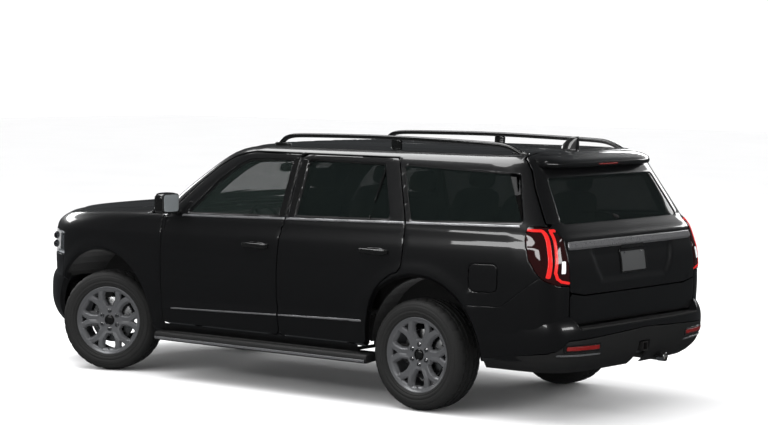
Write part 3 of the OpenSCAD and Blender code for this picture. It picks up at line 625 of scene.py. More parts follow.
def fix_out(V, F):
    """turn the faces outward"""
    V = np.asarray(V, float)
    c = V.mean(0)
    vol = 0.0
    for f in F:
        p = V[f] - c
        for k in range(1, len(f) - 1):
            vol += np.dot(p[0], np.cross(p[k], p[k + 1]))
    return V, (F if vol > 0 else [list(f)[::-1] for f in F])


def lathe(prof, n=64, wave=None):
    """closed outline of (radius, y) points turned about the Y axis"""
    p = np.array(prof, float)
    th = np.linspace(0, 2 * math.pi, n, endpoint=False)
    r, y = np.tile(p[:, 0], (n, 1)), np.tile(p[:, 1], (n, 1))
    t = np.tile(th[:, None], (1, len(p)))
    if wave is not None:
        r, y = wave(t, r, y)
    V = np.stack([r * np.cos(t), y, -r * np.sin(t)], 2).reshape(-1, 3)
    m = len(p)
    i, j = np.meshgrid(np.arange(n), np.arange(m), indexing="ij")
    a, b = (i * m + j).ravel(), (i * m + (j + 1) % m).ravel()
    c, d = (((i + 1) % n) * m + (j + 1) % m).ravel(), (((i + 1) % n) * m + j).ravel()
    q = np.stack([a, b, c, d], 1)
    F = np.concatenate([q[:, [0, 1, 2]], q[:, [0, 2, 3]]])
    cr = np.cross(V[F[:, 1]] - V[F[:, 0]], V[F[:, 2]] - V[F[:, 0]])
    if (cr * V[F[:, 0]]).sum() < 0:
        F = F[:, ::-1]
    return V, F


def bar(pts, ry, rz, n=14, power=2.0, taper=True, up=(0, 0, 1)):
    """rounded bar along a smooth path; ry across, rz along up"""
    p = np.array(pts, float)
    k = np.arange(len(p))
    q = np.linspace(0, len(p) - 1, max(2, (len(p) - 1) * 6 + 1)) if len(p) > 2 else np.linspace(0, 1, 9)
    c = np.stack([pchip(k, p[:, j])(q) if len(p) > 2 else np.interp(q, k, p[:, j]) for j in range(3)], 1)
    d = np.gradient(c, axis=0)
    d /= np.linalg.norm(d, axis=1)[:, None]
    s = np.ones(len(c))
    if taper:
        end = np.array([0.35, 0.75, 0.94])
        c = np.concatenate([[c[0]], [c[0] + d[0] * ry * 0.12], [c[0] + d[0] * ry * 0.45], c[1:-1],
                            [c[-1] - d[-1] * ry * 0.45], [c[-1] - d[-1] * ry * 0.12], [c[-1]]])
        d = np.gradient(c, axis=0)
        d /= np.linalg.norm(d, axis=1)[:, None]
        s = np.concatenate([end, np.ones(len(c) - 6), end[::-1]])
    u = np.array(up, float)
    rings = []
    a = np.linspace(0, 2 * math.pi, n, endpoint=False)
    ca, sa = np.cos(a), np.sin(a)
    e = 2.0 / power
    ca, sa = np.sign(ca) * np.abs(ca) ** e, np.sign(sa) * np.abs(sa) ** e
    for o, t, f in zip(c, d, s):
        side = np.cross(t, u)
        side /= np.linalg.norm(side)
        v = np.cross(side, t)
        rings.append(o + np.outer(ca * ry * f, side) + np.outer(sa * rz * f, v))
    return fix_out(*loft(rings))


def pad(centre, half, e1=0.35, e2=0.35, nu=28, nv=18, shape=None):
    """soft box: a superellipsoid, reshaped by shape(unit points) when given"""
    u = np.linspace(0, 2 * math.pi, nu, endpoint=False)
    v = np.linspace(-math.pi / 2, math.pi / 2, nv)[1:-1]
    pw = lambda x, e: np.sign(x) * np.abs(x) ** e
    rings = []
    for b in v:
        rings.append(np.stack([pw(np.cos(b), e1) * pw(np.cos(u), e2), pw(np.cos(b), e1) * pw(np.sin(u), e2),
                               np.full(nu, pw(np.sin(b), e1))], 1))
    V, F = loft(rings, caps=False)
    V = np.concatenate([V, [[0, 0, -1], [0, 0, 1]]])
    a, b = len(V) - 2, len(V) - 1
    m = (len(rings) - 1) * nu
    F += [[a, (k + 1) % nu, k] for k in range(nu)] + [[b, m + k, m + (k + 1) % nu] for k in range(nu)]
    if shape is not None:
        V = shape(V)
    V = V * np.array(half, float) + np.array(centre, float)
    return fix_out(V, F)


def join_parts(*parts):
    """one mesh from several (V, F) pairs"""
    Vs, Fs, n = [], [], 0
    for V, F in parts:
        Vs.append(np.asarray(V, float))
        Fs += [[i + n for i in f] for f in (F.tolist() if isinstance(F, np.ndarray) else F)]
        n += len(V)
    return np.concatenate(Vs), Fs


def tilt(V, centre, angle, axis=1):
    """turn points about a line through centre"""
    c, s = math.cos(math.radians(angle)), math.sin(math.radians(angle))
    q = np.asarray(V, float) - centre
    i, j = [(1, 2), (2, 0), (0, 1)][axis]
    out = q.copy()
    out[:, i] = q[:, i] * c - q[:, j] * s
    out[:, j] = q[:, i] * s + q[:, j] * c
    return out + centre


def stroke(pts, w, axes, closed=False):
    """band of half width w along a line of points"""
    a = np.array(pts, float)
    b = np.roll(a, -1, 0) if closed else a[1:]

    def f(P):
        q = P[:, axes]
        best = np.full(len(q), 1e18)
        for (x0, y0), (x1, y1) in zip(a, b):
            ex, ey = x1 - x0, y1 - y0
            wx, wy = q[:, 0] - x0, q[:, 1] - y0
            t = np.clip((wx * ex + wy * ey) / (ex * ex + ey * ey + 1e-12), 0, 1)
            best = np.minimum(best, (wx - ex * t) ** 2 + (wy - ey * t) ** 2)
        return np.sqrt(best) - w
    return f


def both_sides(name, V, F, mat, body, slot=None, angle=38.0, replaces=()):
    """the same piece left and right; body and replaces may end in left"""
    o = make_obj(name + "_left", V, F, mat, body, slot, angle, replaces)
    r = tuple(x.replace("left", "right") for x in replaces if "left" in x)
    return o, mirrored(o, name + "_right", body.replace("left", "right"), slot, r)
# ------------------------------------------------------------------ shut lines (side view unless said)
CENTRE_PILLAR = [[-131, 400], [-131, 900], [-149, 1134], [-190, 1290], [-201, 1750]]
DOOR_FRONT_EDGE = [[1040, 985], [992, 1236], [940, 1305], [715, 1520], [575, 1632], [450, 1700], [330, 1730]]
DOOR_REAR_EDGE = [[-962, 560], [-985, 680], [-1015, 760], [-1060, 830], [-1120, 890], [-1190, 936],
                  [-1276, 966], [-1291, 1114], [-1286, 1290]]
DOOR_F = [[1040, 424]] + DOOR_FRONT_EDGE + [[250, 1742], [-201, 1742]] + CENTRE_PILLAR[3:0:-1] + [[-131, 424]]
DOOR_R = [[-131, 424]] + CENTRE_PILLAR[1:4] + [[-201, 1742],
                                               [-1104, 1742]] + DOOR_REAR_EDGE[::-1] + [[-955, 424]]
FRONT_WINDOW = [[800, 1272], [560, 1520], [400, 1640], [290, 1690], [-135, 1706], [-118, 1290]]
REAR_WINDOW = [[-262, 1294], [-275, 1708], [-990, 1700], [-1145, 1312]]
QUARTER_WINDOW = [[-1318, 1312], [-1150, 1700], [-2150, 1668], [-2262, 1345]]
GATE_CUT = [[-2405, 1345], [-2270, 1570], [-2205, 1700], [-2165, 1752], [-2135, 1775], [-2135, 1850],
            [-2700, 1850], [-2700, 1345]]
GATE_END = [[-796, 894], [-640, 868], [640, 868], [796, 894], [796, 1235], [850, 1345], [-850, 1345],
            [-796, 1235]]
GATE_END_G = [[-804, 886], [-648, 860], [648, 860], [804, 886], [804, 1235], [858, 1345], [-858, 1345],
              [-804, 1235]]
GLASS_END = [[-738, 1338], [-655, 1640], [655, 1640], [738, 1338]]
LOWGATE_END = [[-752, 670], [752, 670], [790, 720], [796, 884], [640, 859], [-640, 859], [-796, 884],
               [-790, 720]]
WIND_END = [[-845, 1338], [-690, 1700], [-640, 1742], [640, 1742], [690, 1700], [845, 1338]]
FLAP = [[-1866, 870], [-2098, 876], [-2098, 1062], [-1866, 1054]]
HOOD_PLAN = [[1215, -800], [1700, -812], [2150, -770], [2400, -650], [2700, -480], [2700, 480], [2400, 650],
             [2150, 770], [1700, 812], [1215, 800]]
GRILLE_END = [[-470, 741], [470, 741], [480, 1128], [-480, 1128]]
LAMP_END = [[486, 872], [486, 1080], [900, 1062], [990, 1010], [990, 900], [900, 872]]
# --- places shared by the panels, the wheels and the steering
FRONT_AXLE_X = 1700.0
REAR_AXLE_X = -1412.0
# the wheel openings are arcs round a point a little above the axle
ARCH_Z = 410.0
ARCH_R = 545.0
WHEEL_Z = 390.0
# the front wheels turn about the king pin, and the tyre's middle is SCRUB further out
KING_PIN_Y = 790.0
SCRUB = 58.0
# degrees to the left at rest, and turns of the steering wheel for one of the knuckle
STEER_REST = 22
STEERING_RATIO = 15.4


def belt(x):
    """height of the belt line"""
    return 1232 + 0.0235 * (875 - np.clip(x, -2400, 1100))


def crease(x):
    """height of the body crease"""
    return 1084 + 0.0224 * (2028 - x)


def side_detail(b, n, d):
    """shoulder line, body crease, wheel opening flares, lower door scoop"""
    x, y, z = b[:, 0], np.abs(b[:, 1]), b[:, 2]
    ws = sstep(0.5, 0.9, np.abs(n[:, 1]))
    out = np.zeros(len(b))
    zc = z - crease(x)
    crease_lift = np.where(zc > 0, 4.0 * np.exp(-zc / 22.0), 4.0 * np.exp(zc / 60.0))
    out += crease_lift * sstep(2350, 2050, x) * sstep(-2500, -2250, x)
    zb = z - belt(x)
    belt_lift = np.where(zb > 0, 5.0 * np.exp(-zb / 10.0), 5.0 * np.exp(zb / 34.0))
    out += belt_lift * sstep(1150, 950, x) * sstep(-2420, -2300, x)
    for ax0 in (FRONT_AXLE_X, REAR_AXLE_X):
        r = np.hypot(x - ax0, z - ARCH_Z)
        out += 9.0 * sstep(648, 560, r) * sstep(300, 420, z)
    zs = 552 + 0.018 * (937 - x)
    mid = sstep(1120, 1030, x) * sstep(-1010, -900, x)
    out += -7.0 * mid * np.exp(-((z - zs - 62) / 46.0) ** 2)
    out += 3.0 * mid * np.exp(-((z - zs) / 20.0) ** 2)
    return out * ws


def rear_detail(b, n):
    """plate recess, ledge under the gate bar and lip of the lower gate"""
    x, y, z = b[:, 0], np.abs(b[:, 1]), b[:, 2]
    we = sstep(0.55, 0.9, np.abs(n[:, 0])) * (x < -2000)
    f = sd_poly(np.stack([y, z], 1), [[-500, 1158], [505, 1158], [470, 1040], [400, 946], [-500, 946]])
    out = -18.0 * sstep(26, -26, f)
    out += 8.0 * np.exp(-((z - 1252) / 16.0) ** 2) * sstep(860, 800, y)
    out += -5.0 * sstep(700, 672, y) * np.exp(-((z - 905) / 15.0) ** 2)
    return out * we * sstep(1335, 1300, z)


def cab_detail(b, n, d):
    """side and rear detail with the roof's ribs and gutters"""
    k = sstep(60, 20, d) if np.ndim(d) else (1.0 if d < 40 else 0.3)
    x, y, z = b[:, 0], np.abs(b[:, 1]), b[:, 2]
    out = side_detail(b, n, d) + rear_detail(b, n)
    wz = sstep(0.8, 0.97, n[:, 2]) * sstep(-2120, -2040, x) * sstep(330, 240, x)
    rib = sum(np.exp(-((y - c) / 16.0) ** 4) for c in (110.0, 290.0, 455.0))
    out += 5.0 * rib * wz
    out -= 6.0 * sstep(560, 600, y) * sstep(0.7, 0.9, n[:, 2]) * sstep(700, 680, y) * (z > 1700)
    return out * k


def front_detail(b, n, d):
    """side detail with the hood's raised middle"""
    x, y, z = b[:, 0], np.abs(b[:, 1]), b[:, 2]
    out = side_detail(b, n, d)
    wz = sstep(0.4, 0.8, n[:, 2])
    edge = 400 + 60 * sstep(1300, 2300, x)
    out += wz * (13.0 * sstep(edge + 50, edge - 12, y) * sstep(2560, 2380, x) * sstep(1150, 1300, x))
    out += wz * 4.0 * sstep(700, 640, y) * sstep(520, 600, y) * sstep(2450, 2250, x)
    return out


CABIN_ROWS = [[r[0], r[1], 1400, r[3], 1] for r in LOW_ROWS[:10]] + [[*r, 1] for r in TOP_ROWS]
CABIN = Surf(CABIN_ROWS, GLASS_CORNER, TAIL_CORNER, cab_detail, 0.32)
NOSE = Surf(LOW_ROWS, NOSE_CORNER, TAIL_CORNER, front_detail, 0.32)
FRONT_BUMPER = Surf([[z, w, f, 0, .95] for z, w, f in FRONT_BUMPER_ROWS], NOSE_CORNER, TAIL_CORNER, None, 0.3)
arch_f = lambda P: ARCH_R - np.hypot(P[:, 0] - FRONT_AXLE_X, P[:, 2] - ARCH_Z)
arch_r = lambda P: ARCH_R - np.hypot(P[:, 0] - REAR_AXLE_X, P[:, 2] - ARCH_Z)
SAMPLE = 20.0
TOP_ROW = len(CABIN_ROWS) - 1


def rows(surf, z0, z1, step=None, kx=0.3):
    """rows between two heights"""
    return surf.ts(surf.row(z0), surf.row(z1), step or SAMPLE, kx)


def side_s(surf, x0, x1, z=900.0):
    """side samples from x0 to x1 in the straight part of the outline"""
    t = surf.row(z)
    f = float(np.interp(t, surf.q, surf.c[2]))
    r = float(np.interp(t, surf.q, surf.c[3]))
    a, b = r + surf.rc[3], f - surf.fc[3]
    return 1 + (x0 - a) / (b - a), 1 + (x1 - a) / (b - a)


# --- doors: outer skin with window opening, pane, seal, inner panel
for nm, poly, win, x0, x1 in (("front_door", DOOR_F, FRONT_WINDOW, -215, 1060),
                              ("rear_door", DOOR_R, REAR_WINDOW, -1300, -110)):
    S = srange(1.25, 2.55, SAMPLE)
    fields = [fld(poly, SIDE, -4, 12), fld(win, SIDE, 0, 16, inside=False), ax(1, lo=0)]
    panel_pair(nm + "_skin", CABIN, S, rows(CABIN, 400, 1765), fields, 62, nm + "_left", M["paint"],
               "black_paint", 3.0, replaces=(nm + "_left",), inner_mat=M["plastic"])
    side = "front" if nm == "front_door" else "rear"
    panel_pair(side + "_pane", CABIN, S, rows(CABIN, 1240, 1765), [fld(win, SIDE, 7, 16), ax(1, lo=0)], 19,
               nm + "_left", M["glass_front"] if side == "front" else M["glass_rear"], "tinted_glass", 0,
               14, replaces=(side + "_glass_left",))
    # black seal round the pane
    panel_pair(side + "_pane_seal", CABIN, srange(1.25, 2.55, SAMPLE * 0.6),
               rows(CABIN, 1240, 1765, SAMPLE * 0.6),
               [fld(win, SIDE, 5, 16), fld(win, SIDE, -9, 16, inside=False), ax(1, lo=0)], 22, nm + "_left",
               M["seal"], "black_plastic", 1.5, 9)
    # inner door card
    card = [fld(poly, SIDE, -34, 40), fld([[-3000, 300], [3000, 300], [3000, 1262], [-3000, 1262]], SIDE),
            ax(1, lo=0)]
    panel_pair(nm + "_card", CABIN, srange(1.25, 2.55, 34), rows(CABIN, 440, 1290, 34), card, 104,
               nm + "_left", M["leather_dark"], "seat_leather", 6, 64)

# --- body sides
gate_out = [outside(both_of(fld(GATE_END_G, END), ax(0, hi=-2330))), outside(fld(GATE_CUT, SIDE, 8))]
LAMP = [[-2300, 1325], [-2304, 1235], [-2343, 1112], [-2403, 1028], [-2462, 976], [-2538, 941],
        [-2700, 931], [-2700, 1325]]
low_rear = both_of(fld([[-804, 640], [804, 640], [804, 900], [-804, 900]], END), ax(0, hi=-2330))
bump_poly = [[-1700, 765], [-2130, 778], [-2420, 985], [-2800, 985], [-2800, 0], [-1700, 0]]
common = [fld(DOOR_F, SIDE, 4, 12, inside=False), fld(DOOR_R, SIDE, 4, 12, inside=False),
          fld(QUARTER_WINDOW, SIDE, 0, 16, inside=False), arch_r, ax(2, lo=364), ax(0, hi=1036),
          outside(both_of(fld(WIND_END, END), ax(0, lo=300))), outside(both_of(ay(690), ax(2, lo=1700))),
          *gate_out, outside(fld(LAMP, SIDE, 4, 10)), outside(low_rear), outside(fld(bump_poly, SIDE)),
          ax(1, lo=0)]
body_s = np.unique(np.concatenate([srange(0.0, 1.0, 16), srange(1.0, 2.4, SAMPLE), srange(2.4, 2.98, 16)]))
panel("body_side_left", CABIN, body_s, rows(CABIN, 340, 1806, SAMPLE),
      common + [fld(FLAP, SIDE, 6, 46, inside=False)], 34, "body", M["paint"], "black_paint", 3.0,
      replaces=("body_sides",))
body_r = panel("body_side_right_half", CABIN, body_s, rows(CABIN, 340, 1806, SAMPLE), common, 34, "body",
               M["paint"], "black_paint", 3.0)
mirrored(body_r, "body_side_right", "body")
bpy.data.objects.remove(body_r)

# --- quarter glass
panel_pair("quarter_pane", CABIN, srange(0.9, 1.7, SAMPLE), rows(CABIN, 1280, 1730),
           [fld(QUARTER_WINDOW, SIDE, 7, 16), ax(1, lo=0)], 12, "body", M["glass_rear"], "tinted_glass", 0,
           6, replaces=("quarter_windows",))
panel_pair("quarter_seal", CABIN, srange(0.9, 1.7, 12), rows(CABIN, 1280, 1730, 12),
           [fld(QUARTER_WINDOW, SIDE, 5, 16), fld(QUARTER_WINDOW, SIDE, -8, 16, inside=False), ax(1, lo=0)],
           14, "body", M["seal"], "black_plastic", 1.5, 3)

# --- roof
panel("roof_skin", CABIN, srange(-3, 3, 34), CABIN.ts(CABIN.row(1690), TOP_ROW, 20, 0.12),
      [ay(689), ax(0, lo=-2121, hi=520), ax(2, lo=1700.5)], 24, "body", M["paint"], "black_paint", 3.0,
      replaces=("roof_panel",), inner_mat=M["headliner"])

# --- liftgate and lower tailgate
gate_s = srange(-1.06, 1.06, 15)
gate_in = lambda P: np.minimum(both_of(fld(GATE_END, END), ax(0, hi=-2330))(P), fld(GATE_CUT, SIDE, 0)(P))
panel("liftgate_skin", CABIN, gate_s, rows(CABIN, 850, 1812, 16),
      [gate_in, fld(GLASS_END, END, 0, 30, inside=False)], 46, "liftgate", M["paint"], "black_paint", 3.0,
      replaces=("liftgate",), inner_mat=M["plastic"])
panel("rear_pane", CABIN, gate_s, rows(CABIN, 1320, 1660, 18), [fld(GLASS_END, END, 8, 30),
                                                                ax(0, hi=-2100)], 10, "liftgate",
      M["glass_rear"], "tinted_glass", 0, 4, replaces=("liftgate_glass",))
panel("lower_tailgate_skin", CABIN, srange(-0.9, 0.9, 15), rows(CABIN, 660, 900, 14),
      [fld(LOWGATE_END, END, 0, 10), ax(0, hi=-2400)], 40, "lower_tailgate", M["paint"], "black_paint", 3.0,
      replaces=("lower_tailgate",), inner_mat=M["plastic"])

# --- fuel flap
panel("fuel_flap_skin", CABIN, srange(1.0, 1.4, 10), rows(CABIN, 860, 1075, 10),
      [fld(FLAP, SIDE, 0, 42), ax(1, lo=0)], 9, "fuel_flap", M["paint"], "black_paint", 2.5,
      replaces=("fuel_flap",))
panel("fuel_pocket", CABIN, srange(1.0, 1.4, 14), rows(CABIN, 840, 1095, 14),
      [fld(FLAP, SIDE, 12, 50), ax(1, lo=0)], 60, "body", M["plastic"], "black_plastic", 0, 54)

# --- front: fenders, hood, bumper
hood_out = outside(both_of(fld(HOOD_PLAN, PLAN, 7), ax(2, lo=900)))
fender = [ax(0, lo=1044), hood_out, outside(both_of(ax(0, hi=1200), ax(2, lo=1249))), arch_f,
          outside(both_of(fld(LAMP_END, END), ax(0, lo=2160), ax(1, lo=0))),
          outside(both_of(ax(0, lo=2162), ax(2, hi=872.3))),
          outside(both_of(ax(0, lo=FRONT_AXLE_X), ax(2, hi=700))),
          outside(both_of(ax(0, lo=2450), ax(1, hi=599), ax(2, lo=800, hi=1400))),
          outside(both_of(ax(0, lo=1000, hi=2000), ax(2, hi=366))), ax(1, lo=0)]
fender_s = np.unique(np.concatenate([srange(1.55, 2.0, 18), srange(2.0, 3.0, 16)]))
panel_pair("fender", NOSE, fender_s, NOSE.ts(0.2, NOSE.n - 1, 16, 0.8), fender, 14, "body", M["paint"],
           "black_paint", 3.0, replaces=("front_fenders",))
hood_s = np.unique(np.concatenate([srange(1.55, 2.0, 24), srange(2.0, 4.0, 17), srange(4.0, 4.45, 24)]))
panel("hood_skin", NOSE, hood_s, NOSE.ts(NOSE.row(1100), NOSE.n - 1, 17, 1.0),
      [fld(HOOD_PLAN, PLAN), ax(2, lo=1136), ax(0, lo=1216)], 24, "hood", M["paint"], "black_paint", 3.0,
      replaces=("hood",), inner_mat=M["plastic"])
bumper_fields = [ax(0, lo=2163), arch_f, outside(both_of(ax(0, lo=2500), ay(420), ax(2, lo=400, hi=510)))]
panel("front_bumper_skin", FRONT_BUMPER, srange(2.0, 4.0, 18), FRONT_BUMPER.ts(0, FRONT_BUMPER.n - 1, 16),
      bumper_fields, 26, "body", M["paint"], "black_paint", 3.0, replaces=("front_bumper",))
upper = both_of(fld([[-487, 738], [487, 738], [487, 900], [-487, 900]], END), ax(0, lo=2100))
panel("front_bumper_upper", NOSE, srange(2.0, 4.0, 18), rows(NOSE, 690, 900, 16),
      [ax(0, lo=2163), ax(2, lo=700, hi=871), outside(upper), arch_f], 26, "body", M["paint"],
      "black_paint", 3.0)
# lower intake
panel("front_intake", FRONT_BUMPER, srange(2.6, 3.4, 14), FRONT_BUMPER.ts(0.6, 3.4, 12),
      [both_of(ay(426), ax(2, lo=394, hi=516)), lambda P: 5.0 - np.abs((P[:, 2] - 400) % 22 - 11)], 34,
      "body", M["plastic"], "black_plastic", 0, 22)
# grille frame and bars
grille_inner = [[-404, 786], [404, 786], [424, 1064], [-424, 1064]]
panel("grille_frame", NOSE, srange(2.4, 3.6, 13), rows(NOSE, 730, 1140, 12),
      [fld(GRILLE_END, END, 0, 14), fld(grille_inner, END, 0, 18, inside=False), ax(0, lo=2400)], 34,
      "body", M["gloss"], "gloss_plastic", 4.0, replaces=("grille",))
panel("grille_mesh", NOSE, srange(2.5, 3.5, 9), rows(NOSE, 770, 1080, 9),
      [fld(grille_inner, END, 4), ax(0, lo=2400),
       lambda P: np.minimum(np.abs((P[:, 2] - 786) % 46 - 23) - 7.0,
                            np.abs((P[:, 1] + 900 + 20 * (np.floor((P[:, 2] - 763) / 46) % 2)) % 40 - 20)
                            - 5.0)], 30, "body", M["gloss"], "gloss_plastic", 0, 18)
for k, zz in enumerate((842, 925, 1008)):
    panel(f"grille_bar_{k}", NOSE, srange(2.5, 3.5, 13), rows(NOSE, 780, 1070, 8),
          [ax(2, lo=zz - 14, hi=zz + 14), fld(grille_inner, END, 4), ax(0, lo=2400)], 24, "body",
          M["gloss"], "gloss_plastic", 4.0, 2)

# --- rear bumper: painted upper part with raised corners, plastic lower part
BUMPER_CORNER = corner([[0, 0], [6, .40], [16, .62], [36, .775], [72, .885], [125, .945], [205, .982],
                        [330, 1]], 22)
REAR_BUMPER_ROWS = [[370, 905, -2588], [430, 950, -2640], [520, 972, -2664], [600, 976, -2667],
                    [650, 973, -2662], [690, 968, -2646], [722, 962, -2625], [742, 945, -2590]]
REAR_BUMPER = Surf([[z, w, 0, r, 1] for z, w, r in REAR_BUMPER_ROWS], NOSE_CORNER, BUMPER_CORNER, None, 0.3)


def valance_top(P):
    """height where the painted bumper meets the plastic valance"""
    end = np.interp(np.abs(P[:, 1]), [0, 850, 915, 980], [607, 574, 499, 497])
    side = np.interp(P[:, 0], [-2562, -1952], [497, 421])
    return np.where(P[:, 0] > -2500, side, end)


step_end = [[-752, 648], [752, 648], [812, 760], [-812, 760]]
swage_side = [[-1500, 632], [-2142, 646], [-2447, 714], [-2545, 742], [-2800, 742], [-2800, 0], [-1500, 0]]
bumper_s = srange(-2.0, 2.0, 15)
bumper_t = REAR_BUMPER.ts(0, REAR_BUMPER.n - 1, 12)
keep = [ax(0, hi=-1702), arch_r, outside(fld(step_end, END, 0, 14)), fld(swage_side, SIDE)]
panel("rear_bumper_upper", REAR_BUMPER, bumper_s, bumper_t, keep + [lambda P: valance_top(P) + 3 - P[:, 2]],
      40, "body", M["paint"], "black_paint", 4.0, replaces=("rear_bumper",))
panel("rear_bumper_valance", REAR_BUMPER, bumper_s, bumper_t,
      keep + [lambda P: P[:, 2] - valance_top(P) + 3,
              outside(both_of(ay(72), ax(2, hi=512), ax(0, hi=-2400)))], 34, "body", M["plastic"],
      "black_plastic", 3.0, 3.0)
corner_fields = [fld([[-1700, 765], [-2130, 778], [-2420, 985], [-2800, 985], [-2800, 420], [-1700, 420]],
                     SIDE), arch_r, outside(both_of(ay(804), ax(2, lo=640))),
                 outside(fld(LAMP, SIDE, 4, 10)), ax(0, lo=-2800), ax(1, lo=0)]
corner_s = np.unique(np.concatenate([srange(0.0, 1.0, 14), srange(1.0, 1.5, 18)]))
panel_pair("rear_bumper_corner", CABIN, corner_s, rows(CABIN, 410, 1000, 16), corner_fields, 30, "body",
          M["paint"], "black_paint", 3.0)
# step pad, lights, thin bright lines and the reflectors
step_v = [(-2656, 640), (-2662, 650), (-2660, 655), (-2560, 655), (-2556, 640)]
ys = np.linspace(-742, 742, 41)
step_x = lambda y: 26 * (np.abs(y) / 742.0) ** 4
V, F = loft([[(x + step_x(y) * (x < -2600), y, z) for x, z in step_v] for y in ys])
make_obj("bumper_step_pad", *fix_out(V, F), M["step"], "body", "black_plastic", 30)
for nm, sg in (("left", 1), ("right", -1)):
    S = srange(0.05, 1.3, 9) if sg > 0 else srange(-1.3, -0.05, 9)
    panel("reflector_" + nm, REAR_BUMPER, S, rows(REAR_BUMPER, 490, 560, 5),
          [fld([[560 * sg, 503], [862 * sg, 508], [866 * sg, 537], [560 * sg, 532]], END, 0, 8)], 14,
          "body", M["red_dim"], "lamp_red", 3.0, -3.0)
    panel("valance_line_" + nm, REAR_BUMPER, S, rows(REAR_BUMPER, 440, 500, 5),
          [stroke([(540 * sg, 470), (905 * sg, 478)], 4.5, END)], 12, "body", M["satin"], "steel", 2.0,
          -2.5)
    panel("valance_recess_" + nm, REAR_BUMPER, S, rows(REAR_BUMPER, 480, 570, 5),
          [fld([[545 * sg, 492], [880 * sg, 498], [884 * sg, 548], [545 * sg, 543]], END, 0, 10)], 12,
          "body", M["gloss"], "gloss_plastic", 2.0, -1.0)
# ------------------------------------------------------------------ wheels: axis along Y, +Y outboard
class Disc:
    """A round surface: s is the angle, t the radius, seen from outboard."""
    merge = False

    def __init__(self, prof, detail=None):
        p = np.array(prof, float)
        self.f, self.detail = pchip(p[:, 0], p[:, 1]), detail

    def base(self, p, d):
        th, r = p[:, 0], p[:, 1]
        return np.stack([r * np.cos(th), self.f(r) - d, -r * np.sin(th)], 1)

    def normal(self, p, d=0, full=False):
        e = 1e-3
        g = (self.f(p[:, 1] + e) - self.f(p[:, 1] - e)) / (2 * e)
        n = np.stack([-g * np.cos(p[:, 0]), np.ones(len(p)), g * np.sin(p[:, 0])], 1)
        return n / np.linalg.norm(n, axis=1)[:, None]

    def pos(self, p, d=0):
        b = self.base(p, d)
        if self.detail is not None and d < 20:
            b[:, 1] += self.detail(b)
        return b


def sector(P, start, n=6):
    """coordinates along and across the nearest of n spokes, the first at the angle start"""
    r, a = np.hypot(P[:, 0], P[:, 2]), np.arctan2(P[:, 2], P[:, 0])
    w = 2 * math.pi / n
    f = (a - start + w / 2) % w - w / 2
    return np.stack([r * np.cos(f), r * np.sin(f)], 1)


WINDOW = [[100, -24], [150, -52], [196, -58], [232, -50], [232, 50], [196, 58], [150, 52], [100, 24]]
NOTCH = [[176, 0], [236, -35], [238, 35]]
HALF = math.pi / 2
win_sd = lambda P: sd_poly(sector(P, HALF), offset(WINDOW, -10)) - 10
tri_sd = lambda P: sd_poly(sector(P, HALF + math.pi / 6), offset(NOTCH, -5)) - 5


def face_detail(P):
    """sloped frames round the windows and sockets round the nuts"""
    r = np.hypot(P[:, 0], P[:, 2])
    w, t = win_sd(P), tri_sd(P)
    out = -30.0 * sstep(1, -24, w)
    out += 2.0 * np.exp(-((w - 5) / 5.0) ** 2) * (r > 100)
    out -= 10.0 * sstep(2, -9, t)
    q = sector(P, HALF)
    nut = np.hypot(q[:, 0] - 71, q[:, 1])
    out += -7.0 * sstep(17, 12, nut) - 6.0 * sstep(43, 38, r)
    across = np.abs(q[:, 1]) - q[:, 0] * math.tan(math.pi / 6) * 0.985
    out += -3.5 * np.exp(-(across / 7.0) ** 2) * sstep(95, 120, r) * sstep(182, 160, r)
    return out


FACE = Disc([[20, 93], [44, 93], [66, 91], [92, 92], [120, 96], [170, 101], [214, 103], [234, 102],
             [242, 104], [250, 110], [257, 116], [262, 118.5], [265.4, 117]], face_detail)


SIDEWALL = pchip([259, 264, 275, 292, 312, 334, 352, 367, 379, 386],
                 [109.5, 117, 127.5, 134.5, 137.3, 136.6, 131, 121.5, 106, 90])
TREAD = pchip([-90, -60, 0, 60, 90], [386, 388.6, 390, 388.6, 386])


def tyre_mesh():
    """tyre with sidewall rings, grooves, blocks and shoulder notches"""
    rs = np.unique(np.concatenate([np.linspace(259, 300, 11), np.linspace(300, 386, 30)]))
    ring = lambda c, w, h: h * (sstep(c - w - 1.6, c - w + 1.6, rs) - sstep(c + w - 1.6, c + w + 1.6, rs))
    out = SIDEWALL(rs)
    for c, w, h in ((276, 3, 1.8), (284, 3, -1.6), (296, 5, 1.5), (309, 4, -1.8), (329, 11, 1.2),
                    (345, 3, -1.5)):
        out = out + ring(c, w, h)
    inb = SIDEWALL(rs[::2])
    grooves = (-66, -24, 24, 66)
    ty = [c + s for c in grooves for s in (-6.5, -4.5, 4.5, 6.5)] + [-90, -80, 80, 90]
    ty = np.unique(ty + list(np.linspace(-56, 56, 9)[1:-1:2]))[::-1]
    groove = np.array([min(abs(y - c) for c in grooves) < 5 for y in ty])
    tr = TREAD(ty) - 9.0 * groove
    prof = list(zip(rs, out)) + list(zip(tr[1:-1], ty[1:-1]))
    prof += [(r, -y) for r, y in zip(rs[::2][::-1], inb[::-1])]
    n = 180

    def wave(t, r, y):
        k = np.round(t / (2 * math.pi) * n).astype(int)
        up = (k % 2 == 0)
        band = (r > 351) & (r < 364) & (y > 0)
        y = y + np.where(band & up, 1.4, 0) - np.where(band & ~up, 0.8, 0)
        block = (np.abs(y) < 96) & (r > 380)
        gap = ((k + np.where(np.abs(y) > 60, 2, 0)) % 6 == 0) & block & (np.abs(y) > 28)
        r = r - np.where(gap, 6.0, 0)
        shoulder = (np.abs(y) >= 96) & (r > 368) & ((k + 2) % 6 == 0)
        return r - np.where(shoulder, 4.0, 0), y
    return lathe(prof, n, wave)


